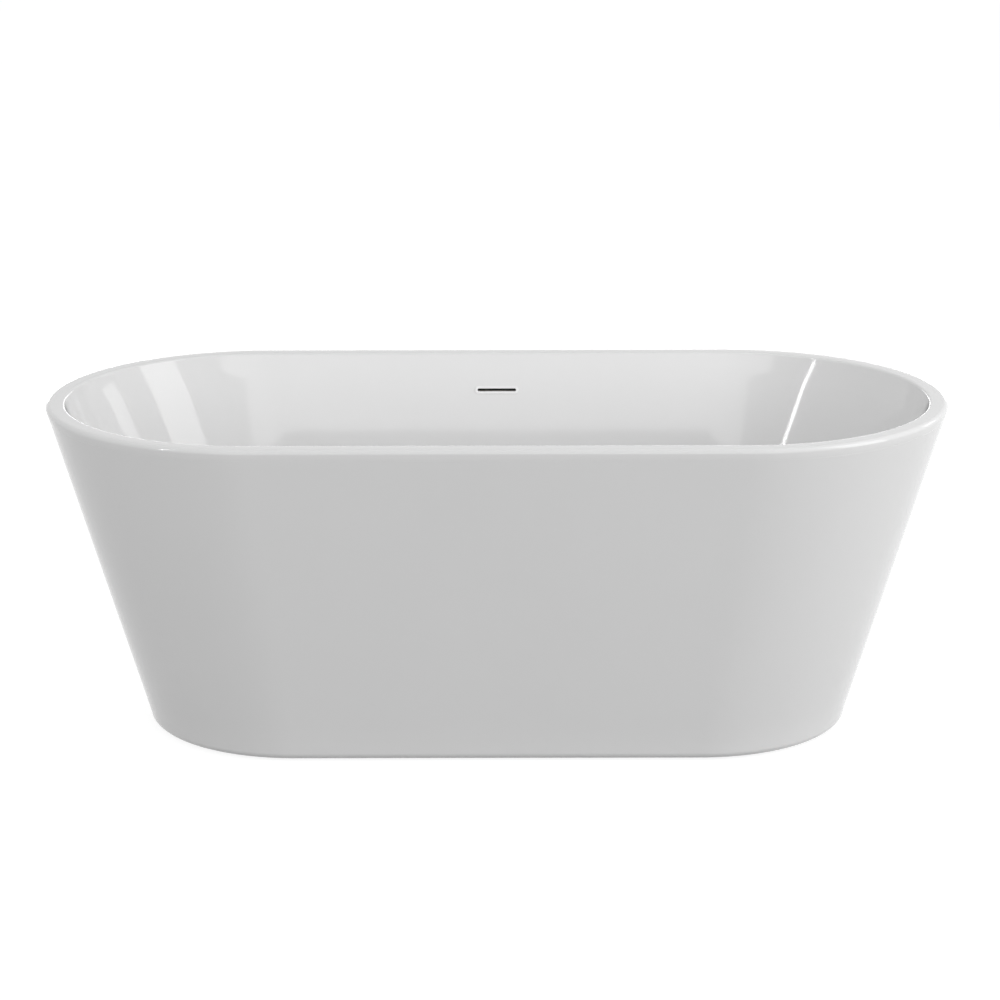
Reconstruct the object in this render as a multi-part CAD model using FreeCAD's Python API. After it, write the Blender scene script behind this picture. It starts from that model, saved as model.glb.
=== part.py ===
"""Freestanding double-walled bathtub with its frame, levelling feet, click waste and slot overflow.

Millimetres, +Z up.  The origin is on the floor under the middle of the tub.  X runs along the tub and
the overflow is in the middle of the rear wall, on the +Y side.
"""
import FreeCAD, Part
import math
import os

V = FreeCAD.Vector
UP = V(0, 0, 1)

# Overall sizes
LENGTH = 1600.0
WIDTH = 750.0
HEIGHT = 590.0
BASE_LENGTH = 1262.0
BASE_WIDTH = 550.0

# Rim and skirt
RIM_WIDTH = 28.0
RIM_OUTER_RADIUS = 8.0
RIM_INNER_RADIUS = 5.0
RIM_LIP = 20.0              # height of the rim's turned-down lip, down to the seam with the skirt
SKIN = 5.0                  # acrylic sheet
SKIRT_GAP = 3.0             # from the floor to the skirt's lower edge
SKIRT_FOOT_RADIUS = 14.0
SKIRT_FLANGE = 30.0         # level flange turned in at the skirt's foot
SKIRT_LAMINATE = 2.5
BOND_LINE = 0.2             # resin between an acrylic shell and what is bonded to it
BOND_THICK = 4.0
BOND_OVERLAP = 9.0          # how far the bond strip runs below the seam

# Basin
FLOOR_Z = 150.0
END_SLOPE = 0.47            # outwards per unit of height
SIDE_SLOPE = 0.235
END_CORNER = 110.0          # radius between wall and floor
SIDE_CORNER = 60.0
BASIN_LAMINATE = 3.0
LAMINATE_DROP = 35.0        # the backings stop this far below the rim

# Base board and steel frame
BOARD_THICK = 18.0
BOARD_MARGIN = 10.0         # from the edge of the flat floor
TUBE = 30.0                 # square tube
TUBE_WALL = 2.0
RAIL_INSET = 37.0           # from the board's side to a rail's centre line
RAIL_SHORT = 76.0           # a rail's end, from the board's end
MID_CROSS_X = 120.0
CAP_PLATE = 2.0
CAP_PLUG = 12.0
CAP_CLEARANCE = 0.2
WOOD_SCREW_RADIUS = 2.2
WOOD_SCREW_HEAD_RADIUS = 5.0
WOOD_SCREW_HEAD = 3.0
WOOD_SCREW_BITE = 12.0
WOOD_SCREW_GAP = 60.0       # from a mid cross-member, along the rail, each way
HOLE_CLEARANCE = 0.3
STEM_HOLE_CLEARANCE = 0.9   # between a foot stem and its hole in the rail

# Levelling feet
FOOT_FROM_END = 70.0        # from the rail's end
STEM_RADIUS = 6.0
STEM_CLEARANCE = 0.06
FOOT_NUT_FLATS = 19.0
FOOT_NUT_HEIGHT = 10.0
STEM_TOP_GAP = 3.0
PAD_RADIUS = 26.0
PAD_EDGE = 6.0
PAD_CONE = 4.0
PAD_NECK_RADIUS = 13.0
PAD_HEIGHT = 20.0
PAD_SOLE = 5.0
PAD_GAP = 0.3
COLLAR_FLATS = 17.0
COLLAR_HEIGHT = 8.0

# Skirt brackets
BRACKET_WIDTH = 25.0
BRACKET_THICK = 2.5
SIDE_BRACKET_FROM_END = 152.7   # from the rail's end
BRACKET_END_GAP = 1.0       # from a bracket's foot to the round inside the skirt's foot
BOLT_RADIUS = 3.0
BOLT_HEAD_FLATS = 10.0
BOLT_HEAD = 4.0
BOLT_REACH = 9.0            # shank length from the bracket's outer face
BOLT_PITCH = 14.0
FLANGE_SCREW_RADIUS = 2.5
FLANGE_SCREW_HEAD_RADIUS = 5.0
FLANGE_SCREW_HEAD = 2.5

# Waste
DRAIN_HOLE_RADIUS = 24.0
DRAIN_TUBE_RADIUS = 23.0
DRAIN_TUBE_WALL = 3.0
DRAIN_FLANGE_RADIUS = 35.0
DRAIN_FLANGE_THICK = 3.0
DRAIN_GASKET = 1.0
LOWER_GASKET = 5.0
UPPER_GASKET_RADIUS = 34.0
LOWER_GASKET_RADIUS = 36.0
BOARD_HOLE_RADIUS = 45.0
TEE_FLANGE = 5.0
TEE_NECK_RADIUS = 29.0
TEE_NECK = 32.0             # from the underside of the tee's flange
TEE_CHAMBER_RADIUS = 24.0
TEE_CHAMBER_BORE = 19.0
TEE_BOTTOM_Z = 56.0
THREAD_GAP = 0.1
TAIL_RADIUS = 20.0
TAIL_WALL = 3.0
TAIL_BOTTOM_Z = 10.0
TAIL_INSERT = 11.5
TAIL_BEAD_RADIUS = 21.5
TAIL_BEAD = 2.0             # raised ring that a trap's connector pushes up to
TAIL_BEAD_GAP = 1.0         # below the slip nut
SLIP_NUT_FLATS = 60.0
SLIP_NUT_RIM = 4.0
SLIP_NUT_BELOW = 14.0       # from the tee's lower end down to the nut's lower end
SLIP_NUT_ABOVE = 8.0
SPIDER_DROP = 24.0          # from the flange's top down to the spider's top
SPIDER_THICK = 5.0
SPIDER_HUB_RADIUS = 12.0
SPIDER_BAR = 3.0

# Click plug
CARTRIDGE_RADIUS = 9.0
CARTRIDGE_LIP_RADIUS = 11.0
CARTRIDGE_LIP = 2.0
CARTRIDGE_ABOVE = 12.0      # above the spider
CARTRIDGE_BELOW = 12.0      # below the spider
PLUG_STEM_RADIUS = 4.0
PLUG_STEM_IN = 26.0         # length of stem inside the cartridge below its top
PLUG_CAP_RADIUS = 31.0
PLUG_CAP_EDGE = 2.5
PLUG_CAP_DOME = 3.5
PLUG_BOSS_RADIUS = 8.0
PLUG_BOSS = 5.0
PLUG_SEAL_OUTER = 27.0
PLUG_SEAL_INNER = 21.5
PLUG_SEAL_THICK = 2.0
PLUG_REST_GAP = 0.2

# Overflow
SLOT_DROP = 68.0            # from the rim's top
SLOT_LENGTH = 72.0
SLOT_HEIGHT = 5.0
TRIM_BORDER = 5.0
TRIM_PROUD = 1.5
SLOT_CUT_PROUD = 6.0        # how far the slot cutter starts in front of the wall
OVERFLOW_GASKET = 1.5
OVERFLOW_HALF_LENGTH = 46.0
OVERFLOW_ABOVE = 20.0
OVERFLOW_BELOW = 32.0
OVERFLOW_DEPTH = 18.0
OVERFLOW_WALL = 2.0
OVERFLOW_EAR = 13.0
OVERFLOW_EAR_THICK = 3.0
OVERFLOW_SCREW_RADIUS = 2.0
OVERFLOW_SCREW_HEAD_RADIUS = 4.0
OVERFLOW_SCREW_HEAD = 2.2
NOZZLE_RADIUS = 7.5
NOZZLE_BORE = 5.5
NOZZLE_LENGTH = 30.0
NOZZLE_FROM_BACK = 8.0
TEE_NOZZLE_Z = 78.0
TEE_NOZZLE_END_Y = 62.0
HOSE_RADIUS = 10.0
HOSE_BORE = 7.6
HOSE_ON_NOZZLE = 20.0
HOSE_BEND = 58.0
HOSE_UPPER_BEND = 300.0
HOSE_FROM_SKIRT = 6.0
CLIP_WIDTH = 9.0
CLIP_THICK = 1.2
CLIP_CLEARANCE = 0.05
CLIP_SCREW_BLOCK = 6.0

ARC_STEPS = 6               # straight sections that stand for a quarter round in a loft
SECTION_GAP = 0.5           # least height between the sections of a loft
PAST = 1.0                  # how far a cutter runs past the face that it opens

# Heights and half sizes that follow from the above
SEAM_Z = HEIGHT - RIM_LIP
BASE_Z = SKIRT_GAP + SKIRT_FOOT_RADIUS
SHOULDER_Z = HEIGHT - RIM_OUTER_RADIUS
WALL_TOP_Z = HEIGHT - RIM_INNER_RADIUS
BASIN_BACK = SKIN + BASIN_LAMINATE
DRAIN_BORE_RADIUS = DRAIN_TUBE_RADIUS - DRAIN_TUBE_WALL
BOARD_TOP_Z = FLOOR_Z - BASIN_BACK
BOARD_Z = BOARD_TOP_Z - BOARD_THICK
RAIL_Z = BOARD_Z - TUBE
BACKING_TOP_Z = HEIGHT - LAMINATE_DROP
BRACKET_ON_FLANGE = SKIRT_FLANGE - SKIRT_FOOT_RADIUS - BRACKET_END_GAP


def box(x0, x1, y0, y1, z0, z1):
    """Box between two values on each axis."""
    return Part.makeBox(x1 - x0, y1 - y0, z1 - z0, V(x0, y0, z0))


def disc(radius, z0, z1, x=0.0, y=0.0):
    """Upright cylinder."""
    return Part.makeCylinder(radius, z1 - z0, V(x, y, z0), UP)


def ring(outer, inner, z0, z1, x=0.0, y=0.0):
    """Upright tube."""
    return disc(outer, z0, z1, x, y).cut(disc(inner, z0 - PAST, z1 + PAST, x, y))


def hexagon(flats, z0, z1, x=0.0, y=0.0):
    """Upright hexagonal prism, measured across its flats."""
    corner = flats / math.sqrt(3)
    points = []
    for k in range(7):
        angle = math.radians(60 * k)
        points.append(V(x + corner * math.cos(angle), y + corner * math.sin(angle), z0))
    return Part.Face(Part.makePolygon(points)).extrude(UP * (z1 - z0))


def turned(points):
    """Solid turned about the Z axis from a closed outline of (radius, z) points."""
    corners = [V(r, 0, z) for r, z in points]
    corners.append(corners[0])
    return Part.Face(Part.makePolygon(corners)).revolve(V(0, 0, 0), UP, 360)


def stadium(half_length, half_width, z):
    """Edges of a level outline: front straight, right half circle, rear straight, left half circle."""
    c = half_length - half_width
    r = half_width
    return [
        Part.makeLine(V(-c, -r, z), V(c, -r, z)),
        Part.Arc(V(c, -r, z), V(c + r, 0, z), V(c, r, z)).toShape(),
        Part.makeLine(V(c, r, z), V(-c, r, z)),
        Part.Arc(V(-c, r, z), V(-c - r, 0, z), V(-c, -r, z)).toShape(),
    ]


def flat_side(low, high):
    """Flat face between two level lines that run the same way."""
    corners = [
        low.firstVertex().Point, low.lastVertex().Point,
        high.lastVertex().Point, high.firstVertex().Point,
    ]
    return Part.Face(Part.makePolygon(corners + corners[:1]))


def loft(sections):
    """Solid through stadiums given as (half length, half width, z), lowest first."""
    outlines = [stadium(*section) for section in sections]
    faces = [Part.Face(Part.Wire(outlines[0])), Part.Face(Part.Wire(outlines[-1]))]
    for low, high in zip(outlines, outlines[1:]):
        for k in (0, 2):
            faces.append(flat_side(low[k], high[k]))
            faces.append(Part.makeRuledSurface(low[k + 1], high[k + 1]))
    shell = Part.makeShell(faces)
    shell.sewShape()
    solid = Part.makeSolid(shell)
    if solid.Volume < 0:
        solid.reverse()
    return solid


# ---------------------------------------------------------------- surfaces

def skirt_half(z):
    """Half length and half width of the outside at height z."""
    rise = (z - BASE_Z) / (SHOULDER_Z - BASE_Z)
    half_length = BASE_LENGTH / 2 + rise * (LENGTH - BASE_LENGTH) / 2
    half_width = BASE_WIDTH / 2 + rise * (WIDTH - BASE_WIDTH) / 2
    return half_length, half_width


def skirt_section(z, inset):
    """Section of the slanting outside, moved in by inset."""
    half_length, half_width = skirt_half(z)
    return half_length - inset, half_width - inset, z


def skirt_solid(inset, top_z):
    """Solid inside the skirt's outside moved in by inset, with its rounded foot."""
    foot = SKIRT_FOOT_RADIUS - inset
    sections = []
    for k in range(ARC_STEPS + 1):
        angle = math.radians(90) * k / ARC_STEPS
        z = SKIRT_GAP + inset + foot * (1 - math.cos(angle))
        back = inset + foot * (1 - math.sin(angle))
        sections.append((BASE_LENGTH / 2 - back, BASE_WIDTH / 2 - back, z))
    sections.append(skirt_section(top_z, inset))
    return loft(sections)


def bowl_half(z, top_half, slope, corner, offset):
    """Half size at height z of the bathing surface moved out by offset: a wall, then a round."""
    lean = math.atan(slope)
    radius = corner + offset
    centre_z = FLOOR_Z + corner
    centre = top_half - slope * (WALL_TOP_Z - centre_z) - corner / math.cos(lean)
    if z >= centre_z - radius * math.sin(lean):
        return centre + radius / math.cos(lean) + slope * (z - centre_z)
    return centre + math.sqrt(max(0.0, radius ** 2 - (centre_z - z) ** 2))


def bowl_section(z, offset):
    """Section of the bathing surface moved out by offset."""
    end_top = LENGTH / 2 - RIM_WIDTH - RIM_INNER_RADIUS
    side_top = WIDTH / 2 - RIM_WIDTH - RIM_INNER_RADIUS
    half_length = bowl_half(z, end_top, END_SLOPE, END_CORNER, offset)
    half_width = bowl_half(z, side_top, SIDE_SLOPE, SIDE_CORNER, offset)
    return half_length, half_width, z


def bowl(offset, top_z):
    """Solid inside the bathing surface moved out by offset, up to top_z."""
    sections = []
    for corner in (SIDE_CORNER, END_CORNER):
        for k in range(ARC_STEPS + 1):
            z = FLOOR_Z - offset + (corner + offset) * (1 - math.cos(math.radians(90) * k / ARC_STEPS))
            sections.append(bowl_section(z, offset))
    sections.append(bowl_section(top_z, offset))
    sections.sort(key=lambda section: section[2])
    kept = [sections[0]]
    for section in sections[1:]:
        if section[2] - kept[-1][2] > SECTION_GAP:
            kept.append(section)
    return loft(kept)


def bath_space():
    """Everything inside the bathing surface, with the rim's rounded inner edge."""
    half_length, half_width, z = bowl_section(WALL_TOP_Z, 0)
    sections = []
    for k in range(ARC_STEPS + 1):
        angle = math.radians(90) * k / ARC_STEPS
        out = RIM_INNER_RADIUS * (1 - math.cos(angle))
        sections.append((half_length + out, half_width + out, z + RIM_INNER_RADIUS * math.sin(angle)))
    sections.append((half_length + RIM_INNER_RADIUS, half_width + RIM_INNER_RADIUS, HEIGHT + PAST))
    return bowl(0, WALL_TOP_Z).fuse(loft(sections))


def rim_block():
    """Solid disc as wide as the rim, from the seam up, with the rounded outer edge."""
    sections = [skirt_section(SEAM_Z, 0)]
    for k in range(ARC_STEPS + 1):
        angle = math.radians(90) * k / ARC_STEPS
        z = SHOULDER_Z + RIM_OUTER_RADIUS * math.sin(angle)
        back = RIM_OUTER_RADIUS * (1 - math.cos(angle))
        sections.append((LENGTH / 2 - back, WIDTH / 2 - back, z))
    return loft(sections)


# ---------------------------------------------------------------- places shared by several pieces

SLOT_Z = HEIGHT - SLOT_DROP
SLOT_Y = bowl_section(SLOT_Z, 0)[1]
WALL_LEAN = math.degrees(math.atan(SIDE_SLOPE))
FLAT_HALF_LENGTH = bowl_section(FLOOR_Z, 0)[0]
FLAT_HALF_WIDTH = bowl_section(FLOOR_Z, 0)[1]
BOARD_HALF_LENGTH = FLAT_HALF_LENGTH - BOARD_MARGIN
BOARD_HALF_WIDTH = FLAT_HALF_WIDTH - BOARD_MARGIN
RAIL_Y = BOARD_HALF_WIDTH - RAIL_INSET
RAIL_END = BOARD_HALF_LENGTH - RAIL_SHORT
SIDE_BRACKET_X = RAIL_END - SIDE_BRACKET_FROM_END
END_CROSS_X = RAIL_END - TUBE / 2
FOOT_X = RAIL_END - FOOT_FROM_END
FEET = {
    "front_left": (-FOOT_X, -RAIL_Y),
    "front_right": (FOOT_X, -RAIL_Y),
    "rear_left": (-FOOT_X, RAIL_Y),
    "rear_right": (FOOT_X, RAIL_Y),
}
WOOD_SCREWS = []
for side in (-1, 1):
    for mid in (-MID_CROSS_X, MID_CROSS_X):
        for step in (-WOOD_SCREW_GAP, WOOD_SCREW_GAP):
            WOOD_SCREWS.append((mid + step, side * RAIL_Y))
FLANGE_TOP_Z = SKIRT_GAP + SKIN


def on_wall(shape):
    """Places a shape drawn at the slot: X along the wall, Y out of the back of it, Z up along it."""
    turn = FreeCAD.Rotation(V(1, 0, 0), -WALL_LEAN)
    shape.Placement = FreeCAD.Placement(V(0, SLOT_Y, SLOT_Z), turn)
    return shape


def slot_cutter():
    """Level slot right through the rear wall."""
    half = SLOT_LENGTH / 2 - SLOT_HEIGHT / 2
    low_y = SLOT_Y - SLOT_CUT_PROUD
    deep = SLOT_CUT_PROUD + BASIN_BACK + OVERFLOW_GASKET + OVERFLOW_WALL
    cutter = box(-half, half, low_y, low_y + deep, SLOT_Z - SLOT_HEIGHT / 2, SLOT_Z + SLOT_HEIGHT / 2)
    for x in (-half, half):
        cutter = cutter.fuse(Part.makeCylinder(SLOT_HEIGHT / 2, deep, V(x, low_y, SLOT_Z), V(0, 1, 0)))
    return cutter


def overflow_screw_places():
    """Local (x, z) of the screws in the overflow body's ears."""
    x = OVERFLOW_HALF_LENGTH + OVERFLOW_EAR / 2
    return [(-x, 0.0), (x, 0.0)]


def screw_holes(depth_from, depth_to):
    """Cutters for the overflow screws, between two depths behind the bathing surface."""
    holes = []
    for x, z in overflow_screw_places():
        start = V(x, depth_from, z)
        holes.append(Part.makeCylinder(OVERFLOW_SCREW_RADIUS, depth_to - depth_from, start, V(0, 1, 0)))
    return on_wall(Part.makeCompound(holes))


# ---------------------------------------------------------------- shells

def basin_shell():
    """Inner acrylic shell: bowl, flat rim and turned-down lip in one sheet."""
    lip_inside = loft([skirt_section(SEAM_Z - PAST, SKIN), skirt_section(HEIGHT - SKIN, SKIN)])
    shell = rim_block().cut(lip_inside).fuse(bowl(SKIN, HEIGHT - SKIN / 2))
    shell = shell.cut(bath_space())
    shell = shell.cut(disc(DRAIN_HOLE_RADIUS, BOARD_Z, HEIGHT))
    return shell.cut(slot_cutter())


def basin_laminate():
    """Glass-fibre backing on the outside of the bowl."""
    layer = bowl(BASIN_BACK, BACKING_TOP_Z).cut(bowl(SKIN + BOND_LINE, BACKING_TOP_Z + PAST))
    layer = layer.cut(disc(DRAIN_HOLE_RADIUS, BOARD_Z, HEIGHT))
    layer = layer.cut(screw_holes(SKIN - PAST, BASIN_BACK + PAST))
    return layer.cut(slot_cutter())


def skirt_screw_places():
    """(x, y) of the screws that hold the skirt's foot flange to the brackets."""
    places = []
    y = BASE_WIDTH / 2 - SKIRT_FLANGE + BRACKET_ON_FLANGE / 2
    for x in (-SIDE_BRACKET_X, SIDE_BRACKET_X):
        places += [(x, -y), (x, y)]
    x = BASE_LENGTH / 2 - SKIRT_FLANGE + BRACKET_ON_FLANGE / 2
    places += [(-x, 0.0), (x, 0.0)]
    return places


def skirt_shell():
    """Outer acrylic shell with its rounded foot and level flange."""
    shell = skirt_solid(0, SEAM_Z).cut(skirt_solid(SKIN, SEAM_Z + PAST))
    opening = (BASE_LENGTH / 2 - SKIRT_FLANGE, BASE_WIDTH / 2 - SKIRT_FLANGE)
    shell = shell.cut(loft([(*opening, 0), (*opening, BASE_Z)]))
    for x, y in skirt_screw_places():
        shell = shell.cut(disc(FLANGE_SCREW_RADIUS, 0, BASE_Z, x, y))
    return shell


def skirt_laminate():
    """Glass-fibre backing on the inside of the skirt."""
    low_z = BASE_Z + SKIN
    bond = SKIN + BOND_LINE
    outer = loft([skirt_section(low_z, bond), skirt_section(BACKING_TOP_Z, bond)])
    thick = SKIN + SKIRT_LAMINATE
    inner = loft([skirt_section(low_z - PAST, thick), skirt_section(BACKING_TOP_Z + PAST, thick)])
    return outer.cut(inner)


def rim_bond_strip():
    """Strip that bonds the skirt's top edge to the inside of the rim's lip."""
    low_z = SEAM_Z - BOND_OVERLAP
    high_z = HEIGHT - SKIN - BOND_LINE
    bond = SKIN + BOND_LINE
    outer = loft([skirt_section(low_z, bond), skirt_section(high_z, bond)])
    thick = SKIN + BOND_THICK
    inner = loft([skirt_section(low_z - PAST, thick), skirt_section(high_z + PAST, thick)])
    return outer.cut(inner)


def base_board():
    """Plywood board under the flat of the floor, drilled for the waste and the frame's screws."""
    size = (BOARD_HALF_LENGTH, BOARD_HALF_WIDTH)
    board = loft([(*size, BOARD_Z), (*size, BOARD_TOP_Z)])
    board = board.cut(disc(BOARD_HOLE_RADIUS, BOARD_Z - PAST, BOARD_TOP_Z + PAST))
    for x, y in WOOD_SCREWS:
        board = board.cut(disc(WOOD_SCREW_RADIUS, BOARD_Z - PAST, BOARD_Z + WOOD_SCREW_BITE, x, y))
    return board


# ---------------------------------------------------------------- frame

def square_tube(x0, x1, y0, y1, along_x):
    """Square tube at rail height."""
    tube = box(x0, x1, y0, y1, RAIL_Z, BOARD_Z)
    w = TUBE_WALL
    if along_x:
        return tube.cut(box(x0 - PAST, x1 + PAST, y0 + w, y1 - w, RAIL_Z + w, BOARD_Z - w))
    return tube.cut(box(x0 + w, x1 - w, y0 - PAST, y1 + PAST, RAIL_Z + w, BOARD_Z - w))


def bolt_places(kind):
    """(centre along the tube, height) pairs of a bracket's bolts."""
    middle = RAIL_Z + TUBE / 2
    if kind == "side":
        return [(x + s * BOLT_PITCH / 2, middle) for x in (-SIDE_BRACKET_X, SIDE_BRACKET_X) for s in (-1, 1)]
    return [(s * BOLT_PITCH / 2, middle) for s in (-1, 1)]


def frame_rail(side):
    """Long tube under the board, drilled for screws, feet and bracket bolts."""
    y = side * RAIL_Y
    rail = square_tube(-RAIL_END, RAIL_END, y - TUBE / 2, y + TUBE / 2, True)
    for sx, sy in WOOD_SCREWS:
        if sy * side > 0:
            rail = rail.cut(disc(WOOD_SCREW_RADIUS + HOLE_CLEARANCE, RAIL_Z - PAST, BOARD_Z + PAST, sx, sy))
    for fx in (-FOOT_X, FOOT_X):
        rail = rail.cut(disc(STEM_RADIUS + STEM_HOLE_CLEARANCE, RAIL_Z - PAST, RAIL_Z + TUBE / 2, fx, y))
    for bx, bz in bolt_places("side"):
        start = V(bx, y, bz)
        rail = rail.cut(Part.makeCylinder(BOLT_RADIUS, TUBE, start, V(0, side, 0)))
    return rail


def frame_cross(x, end):
    """Tube between the rails; an end one is drilled for the end bracket's bolts."""
    inner = RAIL_Y - TUBE / 2
    cross = square_tube(x - TUBE / 2, x + TUBE / 2, -inner, inner, False)
    if end:
        for by, bz in bolt_places("end"):
            direction = V(math.copysign(1, x), 0, 0)
            cross = cross.cut(Part.makeCylinder(BOLT_RADIUS, TUBE, V(x, by, bz), direction))
    return cross


def frame_end_caps():
    """Plastic plugs in the four open rail ends."""
    caps = []
    inner = TUBE / 2 - TUBE_WALL - CAP_CLEARANCE
    middle = RAIL_Z + TUBE / 2
    for sx in (-1, 1):
        for sy in (-1, 1):
            y = sy * RAIL_Y
            outside = sorted((sx * RAIL_END, sx * (RAIL_END + CAP_PLATE)))
            inside = sorted((sx * RAIL_END, sx * (RAIL_END - CAP_PLUG)))
            plate = box(*outside, y - TUBE / 2, y + TUBE / 2, RAIL_Z, BOARD_Z)
            plug = box(*inside, y - inner, y + inner, middle - inner, middle + inner)
            caps.append(plate.fuse(plug).removeSplitter())
    return Part.makeCompound(caps)


def frame_screws():
    """Wood screws through the rails into the board, heads below."""
    screws = []
    for x, y in WOOD_SCREWS:
        head = disc(WOOD_SCREW_HEAD_RADIUS, RAIL_Z - WOOD_SCREW_HEAD, RAIL_Z, x, y)
        shank = disc(WOOD_SCREW_RADIUS, RAIL_Z, BOARD_Z + WOOD_SCREW_BITE, x, y)
        screws.append(head.fuse(shank))
    return Part.makeCompound(screws)


# ---------------------------------------------------------------- levelling feet

def foot_nuts(top_z):
    """The four hexagonal nuts whose top faces are at top_z."""
    nuts = []
    for x, y in FEET.values():
        nut = hexagon(FOOT_NUT_FLATS, top_z - FOOT_NUT_HEIGHT, top_z, x, y)
        bore = disc(STEM_RADIUS + STEM_CLEARANCE, top_z - FOOT_NUT_HEIGHT - PAST, top_z + PAST, x, y)
        nuts.append(nut.cut(bore))
    return Part.makeCompound(nuts)


def foot_pad(x, y):
    """Round pad with the socket that the stem turns in."""
    pad = turned([
        (0, 0), (PAD_RADIUS - 1, 0), (PAD_RADIUS, 1), (PAD_RADIUS, PAD_EDGE),
        (PAD_NECK_RADIUS, PAD_EDGE + PAD_CONE), (PAD_NECK_RADIUS, PAD_HEIGHT), (0, PAD_HEIGHT),
    ])
    pad = pad.cut(disc(STEM_RADIUS + STEM_CLEARANCE, PAD_SOLE, PAD_HEIGHT + PAST))
    pad.translate(V(x, y, 0))
    return pad


def foot_stem(x, y):
    """Threaded stem with the hexagonal collar that a spanner turns."""
    stem = disc(STEM_RADIUS, PAD_SOLE + PAD_GAP, BOARD_Z - TUBE_WALL - STEM_TOP_GAP, x, y)
    collar_z = PAD_HEIGHT + PAD_GAP
    return stem.fuse(hexagon(COLLAR_FLATS, collar_z, collar_z + COLLAR_HEIGHT, x, y))


# ---------------------------------------------------------------- skirt brackets

def bracket(reach, foot_end):
    """Angle bracket at x = 0: a leg on the tube face at y = reach and a foot out to y = foot_end."""
    half = BRACKET_WIDTH / 2
    leg = box(-half, half, reach, reach + BRACKET_THICK, FLANGE_TOP_Z, BOARD_Z - TUBE_WALL)
    foot = box(-half, half, reach, foot_end, FLANGE_TOP_Z, FLANGE_TOP_Z + BRACKET_THICK)
    plate = leg.fuse(foot).removeSplitter()
    for s in (-1, 1):
        start = V(s * BOLT_PITCH / 2, reach - PAST, RAIL_Z + TUBE / 2)
        plate = plate.cut(Part.makeCylinder(BOLT_RADIUS, BRACKET_THICK + 2 * PAST, start, V(0, 1, 0)))
    return plate


def turned_about(shape, angle, x=0.0):
    """Copy turned about the Z axis, then moved along X."""
    copy = shape.copy()
    copy.rotate(V(0, 0, 0), UP, angle)
    copy.translate(V(x, 0, 0))
    return copy


def brackets(kind):
    """The brackets of one kind, drilled for the flange screws."""
    if kind == "side":
        plate = bracket(RAIL_Y + TUBE / 2, BASE_WIDTH / 2 - SKIRT_FLANGE + BRACKET_ON_FLANGE)
        places = [(0, x) for x in (-SIDE_BRACKET_X, SIDE_BRACKET_X)]
        places += [(180, x) for x in (-SIDE_BRACKET_X, SIDE_BRACKET_X)]
    else:
        plate = bracket(RAIL_END, BASE_LENGTH / 2 - SKIRT_FLANGE + BRACKET_ON_FLANGE)
        places = [(90, 0), (270, 0)]
    holes = [disc(FLANGE_SCREW_RADIUS, 0, BASE_Z, x, y) for x, y in skirt_screw_places()]
    cutter = Part.makeCompound(holes)
    return Part.makeCompound([turned_about(plate, angle, x).cut(cutter) for angle, x in places])


def bracket_bolts():
    """Hexagon-headed bolts that hold the brackets to the tubes."""
    bolts = []
    for reach, places in ((RAIL_Y + TUBE / 2, "side"), (RAIL_END, "end")):
        face = reach + BRACKET_THICK
        for along, z in bolt_places(places):
            head = hexagon(BOLT_HEAD_FLATS, 0, BOLT_HEAD)
            shank = disc(BOLT_RADIUS, -BOLT_REACH, 0)
            bolt = head.fuse(shank)
            bolt.rotate(V(0, 0, 0), V(1, 0, 0), -90)
            bolt.translate(V(along, face, z))
            first = 0 if places == "side" else 90
            bolts += [turned_about(bolt, first), turned_about(bolt, first + 180)]
    return Part.makeCompound(bolts)


def flange_screws():
    """Pan-headed screws through the brackets' feet and the skirt's flange."""
    screws = []
    top_z = FLANGE_TOP_Z + BRACKET_THICK
    for x, y in skirt_screw_places():
        head = disc(FLANGE_SCREW_HEAD_RADIUS, top_z, top_z + FLANGE_SCREW_HEAD, x, y)
        screws.append(head.fuse(disc(FLANGE_SCREW_RADIUS, SKIRT_GAP + PAST, top_z, x, y)))
    return Part.makeCompound(screws)


# ---------------------------------------------------------------- waste

FLANGE_Z = FLOOR_Z + DRAIN_GASKET
FLANGE_FACE_Z = FLANGE_Z + DRAIN_FLANGE_THICK
SPIDER_TOP_Z = FLANGE_FACE_Z - SPIDER_DROP
TEE_TOP_Z = BOARD_TOP_Z - LOWER_GASKET
TEE_NECK_Z = TEE_TOP_Z - TEE_FLANGE - TEE_NECK
TUBE_BOTTOM_Z = TEE_NECK_Z + THREAD_GAP


def drain_flange():
    """Flanged tube that screws into the tee, with the spider that carries the click cartridge."""
    bevel = DRAIN_FLANGE_THICK / 2
    body = turned([
        (DRAIN_BORE_RADIUS, TUBE_BOTTOM_Z), (DRAIN_TUBE_RADIUS, TUBE_BOTTOM_Z),
        (DRAIN_TUBE_RADIUS, FLANGE_Z), (DRAIN_FLANGE_RADIUS, FLANGE_Z),
        (DRAIN_FLANGE_RADIUS, FLANGE_Z + bevel), (DRAIN_FLANGE_RADIUS - bevel, FLANGE_FACE_Z),
        (DRAIN_BORE_RADIUS + bevel, FLANGE_FACE_Z), (DRAIN_BORE_RADIUS, FLANGE_FACE_Z - bevel),
    ])
    low_z = SPIDER_TOP_Z - SPIDER_THICK
    spider = disc(SPIDER_HUB_RADIUS, low_z, SPIDER_TOP_Z)
    reach = DRAIN_BORE_RADIUS + 1
    half = SPIDER_BAR / 2
    spider = spider.fuse(box(-reach, reach, -half, half, low_z, SPIDER_TOP_Z))
    spider = spider.fuse(box(-half, half, -reach, reach, low_z, SPIDER_TOP_Z))
    hub_hole = disc(CARTRIDGE_RADIUS + THREAD_GAP, low_z - PAST, SPIDER_TOP_Z + PAST)
    return body.fuse(spider).cut(hub_hole)


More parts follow.
